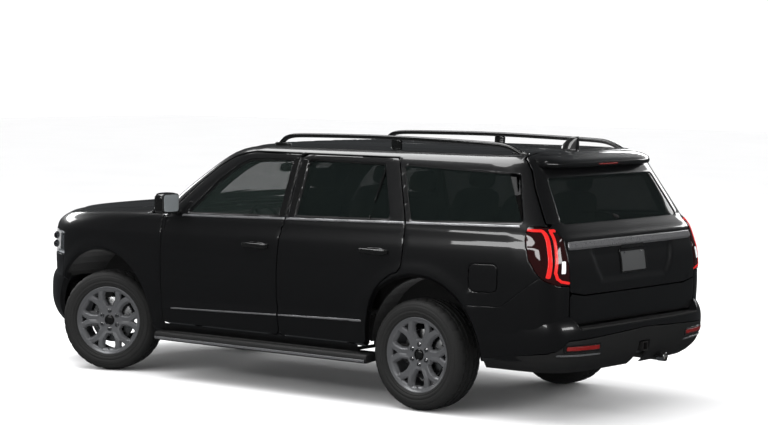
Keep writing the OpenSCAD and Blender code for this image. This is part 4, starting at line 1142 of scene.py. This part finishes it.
def rim_mesh():
    """rim face cut by its windows, with the barrel"""
    S = np.linspace(0, 2 * math.pi, (174) + 1)
    T = np.unique(np.concatenate([np.linspace(20, 110, 12), np.linspace(110, 236, 19),
                                  np.linspace(236, 265.4, 7)]))
    V, F, _ = sheet(FACE, S, T, [lambda P: -(win_sd(P) + 15.0), lambda P: -(tri_sd(P) + 7.0)], 30, 1.5)
    barrel = lathe([(247, 92), (250, 108), (263.5, 113), (265.4, 116), (264, 112), (258.6, 108),
                    (258.6, 60), (252, 40), (250, -60), (258.6, -90), (258.6, -109), (262, -112),
                    (258, -114), (246, -106), (240, -60), (240, 30), (241, 70)], 96)
    return join_parts((V, F), barrel)


def dome(r, y0, y1, n=24, flat=0.0):
    """round cap from y0 to y1"""
    a = np.linspace(0, math.pi / 2, 6)
    side = [(r * flat + r * (1 - flat) * math.cos(t), y0 + (y1 - y0) * math.sin(t)) for t in a[:-1]]
    prof = [(0.4, y0), (r, y0)] + side + [(0.4, y1)]
    return lathe(prof, n)


def spot(V, F, angle, radius):
    """a small round piece moved out from the axis"""
    V = V.copy()
    V[:, 0] += radius * math.cos(angle)
    V[:, 2] += radius * math.sin(angle)
    return V, F


def disc_mesh():
    """vented brake disc with its hat"""
    return join_parts(lathe([(60, 34.5), (88, 35.4), (100, 35.6), (104, 34.6), (172, 34.6), (175, 33),
                             (175, 24), (172, 22.5), (120, 22.5), (116, 18), (172, 17), (175, 15), (175, 8),
                             (172, 6.5), (60, 6.5)], 72),
                      lathe([(26, 36), (84, 36), (88, 40), (86, 56), (70, 60), (26, 60)], 40))


def wheel_place(which):
    """returns a function that takes wheel points to their place on the vehicle"""
    c, s = math.cos(math.radians(STEER_REST)), math.sin(math.radians(STEER_REST))

    side = -1 if which.endswith("right") else 1

    def f(V):
        V = np.array(V, float)
        if which.endswith("right"):
            V = V * [1, -1, 1]
        if which.startswith("rear"):
            return V + [REAR_AXLE_X, side * (KING_PIN_Y + SCRUB), WHEEL_Z]
        V = V + [0, side * SCRUB, 0]
        return np.stack([V[:, 0] * c - V[:, 1] * s, V[:, 0] * s + V[:, 1] * c, V[:, 2]],
                        1) + [FRONT_AXLE_X, side * KING_PIN_Y, WHEEL_Z]
    return f, which.endswith("right")


ty, rim, disc = tyre_mesh(), rim_mesh(), disc_mesh()
nuts = join_parts(*[spot(*dome(10.5, 84, 99, 12, 0.45), HALF + k * math.pi / 3, 71) for k in range(6)],
                  *[spot(*lathe([(12.5, 85), (16, 85), (16.5, 92), (14, 93)], 16), HALF + k * math.pi / 3,
                         71) for k in range(6)])
cap = join_parts(dome(34, 88, 97, 40, 0.35), lathe([(35, 88), (40, 88), (39.5, 95), (37.5, 96.5),
                                                    (35.5, 95)], 40))
valve = bar([(0, 106, -232), (0, 112, -214)], 4, 4, 8)
for wh in ("front_left", "front_right", "rear_left", "rear_right"):
    go, flip = wheel_place(wh)

    def add(name, part, mat, slot, replaces=()):
        V, F = part
        F = (F[:, ::-1] if isinstance(F, np.ndarray) else [f[::-1] for f in F]) if flip else F
        make_obj(f"{name}_{wh}", go(V), F, mat, wh + "_wheel", slot, 32, replaces)
    add("rim", rim, M["alloy"], "alloy", ("wheel_" + wh,))
    add("tyre_tread", ty, M["rubber"], "tyre_rubber", ("tyre_" + wh,))
    add("brake_disc", disc, M["disc"], "steel")
    add("wheel_nuts", nuts, M["nut"], "steel")
    add("wheel_cap", cap, M["gloss"], "gloss_plastic")
    add("valve", valve, M["seal"], "black_plastic")
# ------------------------------------------------------------------ tail lamps
lamp_in = [fld(LAMP, SIDE, -2, 10), ax(1, lo=0),
           outside(both_of(fld(offset(GATE_END, 8), END), ax(0, hi=-2330)))]
lamp_s = srange(0.35, 1.25, 7)
lamp_t = rows(CABIN, 925, 1335, 7)
panel_pair("tail_lamp_lens", CABIN, lamp_s, lamp_t, lamp_in, 46, "body", M["smoke"], "lamp_red", 5.0, -3.0,
           replaces=("tail_lamps",))
hook = [(930, 1303), (900, 1303), (899, 1288), (906, 1240), (914, 1190), (932, 1085), (946, 1000)]
hook_in = [(838, 1304), (862, 1303), (868, 1286), (873, 1240), (882, 1180), (914, 1030), (905, 990),
           (880, 970), (816, 958)]
lines = lambda P: np.minimum(stroke(hook, 8.5, END)(P), stroke(hook_in, 9.0, END)(P))
guide_s = srange(0.35, 1.25, 4.0)
guide_t = rows(CABIN, 935, 1325, 4.0)
panel_pair("tail_lamp_guide", CABIN, guide_s, guide_t, [lines, fld(LAMP, SIDE, -8, 10)], 3, "body",
           M["red"], "lamp_red", 2.5, -6.0)
rev = [[829, 1104], [863, 1104], [878, 1022], [844, 1022]]
panel_pair("reverse_lamp", CABIN, srange(0.5, 1.0, 4), rows(CABIN, 1010, 1115, 4),
           [fld(rev, END, 0, 4), ax(0, hi=-2400)], 3, "body", M["white_lamp"], "lamp_clear", 2.5, -5.5)

# ------------------------------------------------------------------ liftgate details
# the bar across the gate is real; its satin grey colour is a painted highlight on it
panel("gate_bar", CABIN, srange(-1.0, 1.0, 10), rows(CABIN, 1165, 1240, 6),
      [fld([[-776, 1228], [776, 1228], [784, 1182], [-784, 1182]], END, 0, 10), ax(0, hi=-2300)], 4,
      "liftgate", M["satin"], "steel", 5.0, -12.0)
panel("gate_handle_notch", CABIN, srange(-0.6, 0.6, 10), rows(CABIN, 1140, 1185, 6),
      [fld([[-150, 1176], [150, 1176], [140, 1152], [-140, 1152]], END, 0, 8), ax(0, hi=-2300)], 6,
      "liftgate", M["gloss"], "gloss_plastic", 3.0, -4.0)
plate = sheet(CABIN, srange(-0.5, 0.5, 12), rows(CABIN, 970, 1150, 12),
              [fld([[-155, 988], [155, 988], [155, 1138], [-155, 1138]], END, 0, 8), ax(0, hi=-2300)], 1,
              1.5, -3.0)
make_obj("number_plate", plate[0], plate[1], M["plate"], "liftgate", "steel", 30)
frame_p = both_of(fld([[-164, 980], [164, 980], [164, 1146], [-164, 1146]], END, 0, 10),
                  fld([[-150, 993], [150, 993], [150, 1133], [-150, 1133]], END, 0, 6, inside=False))
panel("plate_frame", CABIN, srange(-0.5, 0.5, 8), rows(CABIN, 970, 1155, 8), [frame_p, ax(0, hi=-2300)], 1,
      "liftgate", M["gloss"], "gloss_plastic", 2.0, -6.0)
screws = []
for yy in (-105, 105):
    V, F = dome(7, 0, 5, 16, 0.4)
    V = np.stack([-V[:, 1], V[:, 0], V[:, 2]], 1) + [-2545, yy, 1118]
    screws.append(fix_out(V, F.tolist()))
make_obj("plate_screws", *join_parts(*screws), M["nut"], "liftgate", "steel", 30)


def spoiler_section(y):
    """outline across the roof spoiler at y, in x and z"""
    a = abs(y) / 690.0
    s = max(0.02, (1 - a ** 9)) ** 0.5
    crown = 14 * (1 - a * a)
    back = -2330 - 10 * (1 - a * a) + 34 * a ** 6
    pts = [(-2172, 1788 + crown * 0.8), (-2205, 1783 + crown * 0.7), (-2250, 1771 + crown * 0.6),
           (-2296, 1754 + crown * 0.5), (back + 8, 1740 + crown * 0.4), (back, 1731 + crown * 0.35),
           (back + 1, 1716), (back + 9, 1706), (-2290, 1700), (-2256, 1697), (-2222, 1704), (-2190, 1730),
           (-2172, 1760)]
    b = np.array([-2195, 1745])
    return [(b[0] + (x - b[0]) * s, y, b[1] + (z - b[1]) * (0.35 + 0.65 * s)) for x, z in pts]


ys = 690 * np.sin(np.linspace(-HALF, HALF, 61))
V, F = fix_out(*loft([spoiler_section(y) for y in ys]))
make_obj("roof_spoiler", V, F, M["paint"], "liftgate", "black_paint", 44)
V, F = pad((-2338, 0, 1722), (3, 120, 5), 0.3, 0.3, 20, 10)
make_obj("high_brake_lamp", V, F, M["red_dim"], "liftgate", "lamp_red", 40)
V, F = bar([(-2262, 12, 1652), (-2300, 16, 1600), (-2372, 60, 1462), (-2420, 150, 1392)], 8, 6, 10)
V2, F2 = bar([(-2425, 60, 1366), (-2400, 190, 1395), (-2392, 420, 1402)], 9, 7, 10)
make_obj("rear_wiper", *join_parts((V2, F2), bar([(-2452, 40, 1350), (-2425, 80, 1372)], 16, 14, 14)),
         M["plastic"], "liftgate", "black_plastic", 40)

# ------------------------------------------------------------------ belt moulding and lower door lines in satin grey as painted highlights, handles
MOULDING_RISE = 20.0
belt_line = [(x, float(belt(x) + MOULDING_RISE)) for x in (835, 400, 0, -600, -1200, -1800,
                                                           -2262)] + [(-2322, 1338)]
# line of the painted highlight low on the doors
lower_highlight_line = [(x, 542 + 0.0283 * (937 - x)) for x in (940, -960)]
for nm, body, x0, x1, poly in (("front_door", "front_door", -180, 850, DOOR_F),
                               ("rear_door", "rear_door", -1290, -140, DOOR_R),
                               ("quarter", "body", -2340, -1290, None)):
    lim = [fld(poly, SIDE, -8, 10)] if poly else [fld(DOOR_R, SIDE, 8, 10, inside=False), ax(0, hi=-1250)]
    s0, s1 = side_s(CABIN, x0, x1)
    # painted highlight: the belt moulding's strip is satin grey to stand for the bright reflection line along
    # a black moulding
    panel_pair(f"belt_moulding_{nm}", CABIN, srange(max(0.8, s0 - 0.05), min(2.6, s1 + 0.1), 14),
               rows(CABIN, 1235, 1365, 4.5), [stroke(belt_line, 7.0, SIDE), ax(1, lo=0)] + lim, 4,
               body + ("_left" if poly else ""), M["satin"], "steel", 3.0, -4.0)
    if poly:
        # painted highlight: a satin grey strip low on each door stands for the bright reflection on the
        # sculpted door bottom; no strip is there
        panel_pair(f"side_strip_{nm}", CABIN, srange(s0 - 0.05, s1 + 0.1, 20), rows(CABIN, 525, 610, 4),
                   [stroke(lower_highlight_line, 5.0, SIDE), ax(1, lo=0)] + lim, 4, body + "_left", M["satin"], "steel",
                   3.0, -4.0)
for nm, x, z in (("front_door", -50, 1069), ("rear_door", -1162, 1091)):
    V, F = bar([(x, 986, z), (x + 22, 1006, z), (x + 125, 1014, z), (x + 228, 1006, z), (x + 250, 986, z)],
               9, 17, 18, 3.0)
    V, F = join_parts((V, F), pad((x + 118, 986, z - 2), (82, 5, 27), 0.5, 0.6, 30, 14))
    both_sides("handle_" + nm, V, F, M["gloss"], nm + "_left", "gloss_plastic", 40)
# black pillar facings beside the window openings
for nm, body, poly in (("front", "front_door_left", [[-116, 1292], [-174, 1292], [-192, 1712], [-136, 1712]]),
                       ("rear", "rear_door_left", [[-206, 1296], [-262, 1296], [-275, 1704], [-216, 1704]])):
    panel_pair(f"pillar_facing_{nm}", CABIN, srange(1.3, 2.2, 10), rows(CABIN, 1285, 1720, 14),
               [fld(poly, SIDE, 0, 6), ax(1, lo=0)], 3, body, M["gloss"], "gloss_plastic", 2.0, -1.5)
panel_pair("rear_window_divider", CABIN, srange(1.2, 2.0, 8), rows(CABIN, 1290, 1712, 12),
           [stroke([(-955, 1300), (-1000, 1706)], 9.0, SIDE), ax(1, lo=0)], 16, "rear_door_left",
           M["gloss"], "gloss_plastic", 2.0, 5.0)

# ------------------------------------------------------------------ mirrors
def shell_shape(V):
    """taper the mirror head toward its outer end"""
    V = V.copy()
    y = V[:, 1]
    V[:, 2] *= 1 - 0.10 * np.clip(y, 0, 1) ** 2
    V[:, 0] = np.where(V[:, 0] > 0, V[:, 0] * (1 - 0.25 * np.clip(y, -1, 1) ** 2), V[:, 0])
    return V


head = pad((893, 1078, 1346), (56, 92, 78), 0.42, 0.42, 36, 24, shell_shape)
head_lower = pad((893, 1078, 1283), (50, 84, 18), 0.5, 0.5, 30, 14)
arm_m = bar([(905, 965, 1268), (905, 990, 1284), (898, 1040, 1296)], 32, 20, 18, 2.6)
both_sides("mirror_shell", *head, M["gloss"], "front_door_left", "gloss_plastic", 44, ("door_mirror_left",))
both_sides("mirror_foot", *join_parts(arm_m, head_lower), M["plastic"], "front_door_left", "black_plastic",
           44)
both_sides("mirror_bezel", *pad((843, 1078, 1346), (10, 86, 72), 0.3, 0.36, 32, 20), M["plastic"],
           "front_door_left", "black_plastic", 44)
# mirror pane with a painted reflection in its pale grey colour
both_sides("mirror_pane", *pad((835, 1078, 1346), (4, 78, 64), 0.3, 0.36, 32, 20), M["mirror"],
           "front_door_left", "clear_glass", 44)

# ------------------------------------------------------------------ roof rails, antenna, running boards
rail = bar([(150, 630, 1797), (70, 630, 1852), (-20, 630, 1867), (-300, 630, 1873), (-800, 630, 1876),
            (-1400, 630, 1866), (-1868, 630, 1850), (-1950, 630, 1835), (-2066, 630, 1785)], 20, 16, 18,
           3.0)
feet = [bar([(x, 630, 1790), (x - 4, 630, 1866)], 14, 46, 14, 3.0, up=(1, 0, 0)) for x in (-955,)]
shoes = [pad((x, 630, z), (70, 19, 13), 0.5, 0.4, 24, 12) for x, z in ((118, 1802), (-2032, 1792))]
V, F = join_parts(rail, *feet, *shoes)
V2 = V * [1, -1, 1]
make_obj("roof_rail_bars", *join_parts((V, F), (V2, [f[::-1] for f in F])), M["gloss"], "body",
         "gloss_plastic", 40, ("roof_rails",))
rings = []
for k in range(15):
    t = k / 14.0
    x0, x1 = -1938 - 92 * t ** 1.7, -2092 + 4 * t
    th = (20 * (1 - t) ** 0.7 + 7.0) * (1 if t < 0.95 else 0.6)
    c, h = (x0 + x1) / 2, (x0 - x1) / 2
    rings.append([(c + h * math.cos(a), th * np.sign(math.sin(a))
                   * abs(math.sin(a)) ** (1.3 if math.cos(a) > 0 else 0.8),
                   1808 + 94 * t) for a in np.linspace(0, 2 * math.pi, 28, endpoint=False)])
make_obj("antenna_fin", *fix_out(*loft(rings)), M["paint"], "body", "black_paint", 46, ("antenna",))

prof = [(822, 350), (822, 318), (832, 306), (900, 300), (980, 292), (994, 293), (1000, 300), (1002, 318),
        (1000, 338), (992, 350), (976, 357), (900, 361), (832, 361)]
xs = [-985, -982, -975] + list(np.linspace(-960, 1070, 30)) + [1085, 1094, 1098]


def board_ring(x, grow=0.0):
    """section of the running board, smaller toward its ends"""
    e = min((x + 985) / 14.0, (1098 - x) / 30.0, 1.0)
    s = 0.86 + 0.14 * math.sqrt(max(0.0, 1 - (1 - e) ** 2)) if e < 1 else 1.0
    return [(x, 911 + (y - 911) * s, 328 + (z - 328) * s) for y, z in prof]


bracket_x = (-670, 30, 830)
brackets = [pad((x, 650, 348), (28, 176, 9), 0.25, 0.25, 16, 8) for x in bracket_x]
brackets += [pad((x, 478, 400), (28, 7, 64), 0.25, 0.25, 16, 8) for x in bracket_x]
Vb, Fb = join_parts(fix_out(*loft([board_ring(x) for x in xs])), *brackets)
# painted highlight: a satin grey strip on the board's outer face stands for its bright lower highlight line
strip = fix_out(*loft([[(x, y, z) for y, z in ((1000, 300), (1005, 303), (1006.5, 310), (1005, 317),
                                               (1000, 320))] for x in np.linspace(-970, 1080, 24)]))
tread_v = []
for k in range(7):
    yy = 862 + 18 * k
    tread_v.append(pad((50, yy, 361), (930, 5, 3.2), 0.5, 0.3, 16, 8))
Vt, Ft = join_parts(*tread_v)
both = lambda V, F: join_parts((V, F), (V * [1, -1, 1], [f[::-1] for f in F]))
make_obj("running_board_body", *both(Vb, Fb), M["plastic"], "body", "black_plastic", 34, ("running_boards",))
make_obj("running_board_strip", *both(*strip), M["satin"], "body", "steel", 40)
make_obj("running_board_treads", *both(Vt, Ft), M["step"], "body", "black_plastic", 40)

# ------------------------------------------------------------------ windshield, cowl, headlamps
wind_s = np.unique(srange(2.0, 4.0, 26))
wind_t = rows(CABIN, 1330, 1750, 20, 0.6)
panel("windshield_pane", CABIN, wind_s, wind_t, [fld(WIND_END, END, -6, 24), ax(0, lo=450)], 10, "body",
      M["glass_wind"], "clear_glass", 0, 4, replaces=("windshield",))
panel("windshield_band", CABIN, np.unique(srange(2.0, 4.0, 16)), rows(CABIN, 1330, 1750, 12, 0.6),
      [fld(WIND_END, END, -3, 24), fld(WIND_END, END, -44, 30, inside=False), ax(0, lo=450)], 14, "body",
      M["seal"], "black_plastic", 1.5, 3)
wipers = [bar([(1190, 420, 1298), (1150, 380, 1345), (1110, 120, 1380), (1100, -90, 1392)], 6, 5, 8),
          bar([(1190, -200, 1298), (1155, -260, 1345), (1120, -480, 1368), (1105, -620, 1376)], 6, 5, 8)]
make_obj("wipers", *join_parts(*wipers), M["plastic"], "body", "black_plastic", 40)
headlamp_s = srange(2.2, 2.95, 9)
headlamp_t = rows(NOSE, 865, 1090, 8)
panel_pair("headlamp_lens", NOSE, headlamp_s, headlamp_t, [fld(LAMP_END, END, -3, 12), ax(0, lo=2163),
                                                           ax(1, lo=0)], 5, "body", M["lens"], "lamp_clear",
           2.0, 0.0, replaces=("headlamps",))
panel_pair("headlamp_housing", NOSE, headlamp_s, headlamp_t, [fld(LAMP_END, END, -3, 12), ax(0, lo=2163),
                                                              ax(1, lo=0)], 46, "body", M["gloss"],
           "gloss_plastic", 2.0, 26.0)
panel_pair("day_lamp", NOSE, headlamp_s, headlamp_t,
           [lambda P: np.minimum(stroke([(505, 885), (505, 1066), (890, 1050)], 8, END)(P),
                                 stroke([(505, 885), (890, 885)], 8, END)(P)), ax(0, lo=2163)], 24, "body",
           M["white_lamp"], "lamp_clear", 3.0, 12.0)
proj = []
for yy, zz, xx in ((590, 1000, 2512), (700, 998, 2480), (590, 930, 2516), (700, 930, 2484)):
    V, F = dome(30, 0, 16, 28, 0.2)
    V = np.stack([V[:, 1], V[:, 0], V[:, 2]], 1) + [xx, yy, zz]
    proj.append(fix_out(V, F.tolist()))
Vp, Fp = join_parts(*proj)
make_obj("headlamp_projectors", *both(Vp, Fp), M["reflector"], "body", "lamp_clear", 34)
# ------------------------------------------------------------------ seats
def cushion_shape(V):
    """crowned middle, raised side bolsters, a seam groove each side and across"""
    V = V.copy()
    x, y, top = V[:, 0], V[:, 1], np.clip(V[:, 2], 0, 1)
    V[:, 2] += top * (0.10 * (1 - x ** 2) + 0.30 * sstep(0.55, 0.85,
                                                         np.abs(y)) - 0.22
                      * np.exp(-((np.abs(y) - 0.56) / 0.045) ** 2) - 0.13
                      * np.exp(-((x - 0.28) / 0.04) ** 2) * (np.abs(y) < 0.58) - 0.13
                      * np.exp(-((x + 0.35) / 0.04) ** 2) * (np.abs(y) < 0.58))
    return V


def back_shape(V):
    """backrest: bolsters toward the front, flutes across, narrower at the top"""
    V = V.copy()
    y, z, front = V[:, 1], V[:, 2], np.clip(V[:, 0], 0, 1)
    V[:, 0] += front * (0.45 * sstep(0.55, 0.85,
                                     np.abs(y)) - 0.25 * np.exp(-((np.abs(y) - 0.56) / 0.045) ** 2)
                        - sum(0.16 * np.exp(-((z - c) / 0.03) ** 2) for c in (-0.45, 0.0, 0.45))
                        * (np.abs(y) < 0.58))
    V[:, 1] *= 1 - 0.10 * sstep(0.2, 1.0, z)
    return V


def head_shape(V):
    """headrest: hollow behind, narrower at the top"""
    V = V.copy()
    V[:, 0] -= 0.25 * (1 - V[:, 1] ** 2)
    V[:, 1] *= 1 - 0.12 * sstep(-0.2, 1, V[:, 2])
    return V


SEAT_NU, SEAT_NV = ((56, 32))
for row, node, x, y, w, z in (("front", "front_seats", 155, 380, 540, 800),
                              ("second", "second_row_seats", -780, 364, 490, 810),
                              ("third", "third_row_seat", -1700, 290, 520, 830)):
    base_c, back_c, head_c, posts, plinths = [], [], [], [], []
    for sg in (1, -1):
        yy = y * sg
        base_c.append(pad((x + 235, yy, z + 78), (282, w / 2, 62), 0.42, 0.34, SEAT_NU, SEAT_NV,
                          cushion_shape))
        V, F = pad((x - 105, yy, z + 375), (64, w / 2 - 4, 300), 0.34, 0.42, SEAT_NU, SEAT_NV, back_shape)
        back_c.append((tilt(V, np.array([x - 105, yy, z + 375]), -18), F))
        V, F = pad((x - 210, yy, z + 748), (52, 125, 76), 0.6, 0.55, SEAT_NU // 2, SEAT_NV // 2, head_shape)
        head_c.append((tilt(V, np.array([x - 210, yy, z + 748]), -14), F))
        posts += [bar([(x - 196, yy + s, z + 630), (x - 212, yy + s, z + 712)], 6, 6, 10,
                      up=(1, 0, 0)) for s in (-60, 60)]
        plinths.append(pad((x + 200, yy, z - 92), (235, w / 2 - 62, 96), 0.2, 0.2, 24, 12))
        plinths.append(pad((x + 210, yy + sg * (w / 2 - 6), z + 20), (215, 14, 40), 0.3, 0.3, 24, 12))
    o = make_obj(row + "_seat_cushions", *join_parts(*base_c), M["leather"], "body", "seat_leather", 60,
                 (node,))
    o = make_obj(row + "_seat_backs", *join_parts(*back_c), M["leather"], "body", "seat_leather", 60)
    o = make_obj(row + "_headrests", *join_parts(*head_c), M["leather"], "body", "seat_leather", 60)
    make_obj(row + "_headrest_posts", *join_parts(*posts), M["chrome"], "body", "steel", 40)
    make_obj(row + "_seat_bases", *join_parts(*plinths), M["plastic"], "body", "black_plastic", 40)


# ------------------------------------------------------------------ dashboard, console, steering wheel
def chaikin(pts, times=2):
    """round an outline by cutting its corners"""
    p = np.array(pts, float)
    for _ in range(times):
        q = np.roll(p, -1, 0)
        p = np.stack([0.78 * p + 0.22 * q, 0.22 * p + 0.78 * q], 1).reshape(-1, 2)
    return p


dash = chaikin([(1020, 900), (1020, 1232), (880, 1258), (640, 1213), (592, 1150), (640, 980), (760, 902)], 3)
dash_middle = dash.mean(0)
ys = [-698, -696, -688, -670] + list(np.linspace(-640, 640, 25)) + [670, 688, 696, 698]
rings = []
for yv in ys:
    e = min(1.0, (700 - abs(yv)) / 26.0)
    s = 0.94 + 0.06 * math.sqrt(max(0.0, 1 - (1 - e) ** 2))
    hood_up = 14 * math.exp(-((yv - 400) / 170.0) ** 2)
    rings.append([(dash_middle[0] + (a - dash_middle[0]) * s, yv,
                   dash_middle[1] + (b - dash_middle[1]) * s
                   + (hood_up if b > 1205 and a < 800 else 0)) for a, b in dash])
make_obj("dashboard_body", *fix_out(*loft(rings)), M["leather_dark"], "body", "seat_leather", 40,
         ("dashboard",))
screens = [pad((612, 0, 1128), (9, 165, 52), 0.15, 0.2, 24, 10),
           pad((604, 400, 1176), (9, 150, 40), 0.15, 0.2, 24, 10)]
make_obj("displays", *join_parts(*[(tilt(V, np.array([610, 0, 1150]), 12), F) for V, F in screens]),
         M["screen"], "body", "gloss_plastic", 40)
vents = [pad((606, yv, 1118 + k * 9), (6, 62, 2.4), 0.4, 0.3, 16,
             8) for yv in (-560, 620, -230, 228) for k in range(-2, 3)]
make_obj("air_vents", *join_parts(*vents), M["satin"], "body", "steel", 40)
cons = [pad((330, 0, 752), (392, 100, 142), 0.25, 0.22, 32, 16),
        pad((640, 0, 800), (82, 102, 190), 0.25, 0.22, 24, 14)]
make_obj("centre_console", *join_parts(*cons), M["plastic"], "body", "black_plastic", 40)
o = make_obj("console_armrest", *pad((130, 0, 905), (178, 92, 26), 0.5, 0.3, 40, 20), M["leather"], "body",
             "seat_leather", 60)
knobs = [pad((480, 0, 913), (20, 20, 24), 0.7, 0.9, 20, 12)]
knobs += [pad((380 + 90 * k, -40 + 80 * k, 894), (38, 38, 5), 0.4, 0.9, 24, 8) for k in (0, 1)]
make_obj("console_controls", *join_parts(*knobs), M["chrome"], "body", "steel", 40)
STEERING_CENTRE = np.array([475, 400, 1150.0])


def wheel_tilt(V):
    """steering wheel points to their place: the column leans back by 65 degrees"""
    return tilt(V, np.zeros(3), -65) + STEERING_CENTRE


# radius of the rim and of its grip
RIM_R = 180
GRIP_R = 15
a = np.linspace(0, 2 * math.pi, 64, endpoint=False)
around = np.linspace(0, 2 * math.pi, 16, endpoint=False)
ring = []
for t in a:
    c = np.array([math.cos(t), math.sin(t), 0])
    k = 1 + 0.12 * (abs(math.sin(t)) > 0.9)
    grip = GRIP_R * k
    ring.append([c * (RIM_R + grip * math.cos(b)) + np.array([0, 0, grip * math.sin(b)]) for b in around])
ring.append(ring[0])
V, F = loft(ring, caps=False)
steering_ring = (V[:-16], [[i % (64 * 16) for i in f] for f in F])
hub = pad((0, 0, 2), (60, 66, 20), 0.5, 0.7, 36, 16)
spokes = []
for ang in (0, 120, 240):
    V, F = pad((115, 0, 0), (66, 17, 8), 0.4, 0.4, 20, 10)
    spokes.append((tilt(V, np.zeros(3), ang - STEER_REST * STEERING_RATIO, 2), F))
V, F = fix_out(*steering_ring)
make_obj("steering_rim", wheel_tilt(V), F, M["leather_dark"], "steering_wheel", "seat_leather", 50,
         ("steering_wheel",))
V, F = join_parts(hub, *spokes)
make_obj("steering_hub", wheel_tilt(V), F, M["plastic"], "steering_wheel", "black_plastic", 50)
V, F = lathe([(0.5, 0), (31, 0), (31, -240), (0.5, -240)], 32)
V = np.stack([V[:, 0], V[:, 2], V[:, 1] - 16], 1)
make_obj("steering_column", wheel_tilt(V), F[:, ::-1], M["plastic"], "body", "black_plastic", 40)
V, F = pad((590, 0, 1592), (16, 120, 34), 0.5, 0.5, 28, 14)
V = tilt(V, np.array([590, 0, 1592]), -12)
make_obj("inside_mirror", *join_parts((V, F), bar([(600, 0, 1600), (650, 0, 1645)], 8, 8, 10)), M["gloss"],
         "body", "gloss_plastic", 40)

# ------------------------------------------------------------------ CAD nodes that keep their shape
for names, mat in ((("wheel_arch_liners",), "felt"), (("cowl", "fuel_tank"), "plastic"),
                   (("engine_block", "radiator"), "cast"),
                   (("drivetrain", "hitch_receiver", "front_suspension", "rear_suspension", "ladder_frame"),
                    "chassis"), (("knuckle_left", "knuckle_right"), "cast"), (("exhaust",), "exhaust"),
                   (("floor_pan",), "carpet")):
    for n in names:
        paint_node(n, M[mat])
# tail pipe tip
V, F = lathe([(24, 0), (29, 0), (31, 3), (31, 60), (29, 62), (27, 60), (27, 6)], 40)
V = np.stack([-V[:, 1] - 2606, V[:, 0] - 262, V[:, 2] + 368], 1)
make_obj("tail_pipe_tip", *fix_out(V, F.tolist()), M["chrome"], "body", "steel", 34)
# ------------------------------------------------------------------ stage, light, camera
def plane(name, pts, mat):
    """flat stage piece"""
    me = bpy.data.meshes.new(name)
    me.from_pydata(pts, [], [[0, 1, 2, 3]])
    me.materials.append(mat)
    o = bpy.data.objects.new(name, me)
    bpy.context.scene.collection.objects.link(o)
    return o


floor_mat = surface("studio_floor", (0.86, 0.86, 0.865), (0.90, 0.90, 0.905), 0.7, 0.0, 0.6, 0.0, rvar=0.05,
                    spec=0.1)
floor = plane("studio_floor", [(-60, -60, -0.001), (60, -60, -0.001), (60, 60, -0.001), (-60, 60, -0.001)],
              floor_mat)
floor.visible_glossy = False

# strength of the white surroundings, and of what shiny surfaces reflect of them
SKY = 1.22
SKY_IN_GLOSS = 0.05
world = bpy.data.worlds.new("studio")
bpy.context.scene.world = world
world.use_nodes = True
nt = world.node_tree
nt.nodes.clear()
out = nt.nodes.new("ShaderNodeOutputWorld")
sky = nt.nodes.new("ShaderNodeBackground")
sky_in_gloss = nt.nodes.new("ShaderNodeBackground")
sky_mix = nt.nodes.new("ShaderNodeMixShader")
light_path = nt.nodes.new("ShaderNodeLightPath")
sky.inputs["Color"].default_value = (1, 1, 1, 1)
sky.inputs["Strength"].default_value = SKY
sky_in_gloss.inputs["Color"].default_value = (0.9, 0.95, 1.0, 1)
sky_in_gloss.inputs["Strength"].default_value = SKY_IN_GLOSS
nt.links.new(light_path.outputs["Is Glossy Ray"], sky_mix.inputs[0])
nt.links.new(sky.outputs[0], sky_mix.inputs[1])
nt.links.new(sky_in_gloss.outputs[0], sky_mix.inputs[2])
nt.links.new(sky_mix.outputs[0], out.inputs[0])


def light(name, loc, target, size, power, size_y=None):
    """area light aimed at a point"""
    ld = bpy.data.lights.new(name, "AREA")
    ld.shape = "RECTANGLE"
    ld.size = size
    ld.size_y = size_y or size
    ld.energy = power
    o = bpy.data.objects.new(name, ld)
    bpy.context.scene.collection.objects.link(o)
    o.location = loc
    o.rotation_euler = (Vector(target) - Vector(loc)).to_track_quat("-Z", "Y").to_euler()
    return o


light("key_top", (3.0, 2.0, 9.0), (0, 0, 0.6), 9.0, 900, 6.0)
light("side_left", (1.0, 11.0, 5.0), (0, 0, 0.9), 10.0, 260, 1.2)
light("side_right", (-1.0, -11.0, 5.0), (0, 0, 0.9), 10.0, 260, 1.2)
light("rear_soft", (-11.0, 1.0, 4.5), (0, 0, 0.9), 7.0, 240, 1.5)
light("front_soft", (11.0, -1.0, 4.5), (0, 0, 0.9), 7.0, 240, 1.5)

# the camera stands where the photographer stood, by a fit
CAMERA_PLACE = (-10.6995, 12.9853, 2.4023)
CAMERA_TURN = (-51.42495, -3.85932, 0.46582)
LENS_MM = 103.5440625
SENSOR_MM = 36.0
cam_data = bpy.data.cameras.new("camera")
cam = bpy.data.objects.new("camera", cam_data)
bpy.context.scene.collection.objects.link(cam)
yaw, pitch, roll = (math.radians(a) for a in CAMERA_TURN)
look_dir = Vector((math.cos(yaw) * math.cos(pitch), math.sin(yaw) * math.cos(pitch), math.sin(pitch)))
right_dir = look_dir.cross(Vector((0, 0, 1))).normalized()
up_dir = right_dir.cross(look_dir)
cam_x = right_dir * math.cos(roll) + up_dir * math.sin(roll)
cam_y = -right_dir * math.sin(roll) + up_dir * math.cos(roll)
rot = Matrix((cam_x, cam_y, -look_dir)).transposed()
cam.matrix_world = Matrix.Translation(CAMERA_PLACE) @ rot.to_4x4()
cam_data.sensor_width = SENSOR_MM
cam_data.sensor_fit = "HORIZONTAL"
cam_data.lens = LENS_MM
cam_data.clip_end = 300
bpy.context.scene.camera = cam
bpy.context.scene.view_settings.view_transform = "Standard"
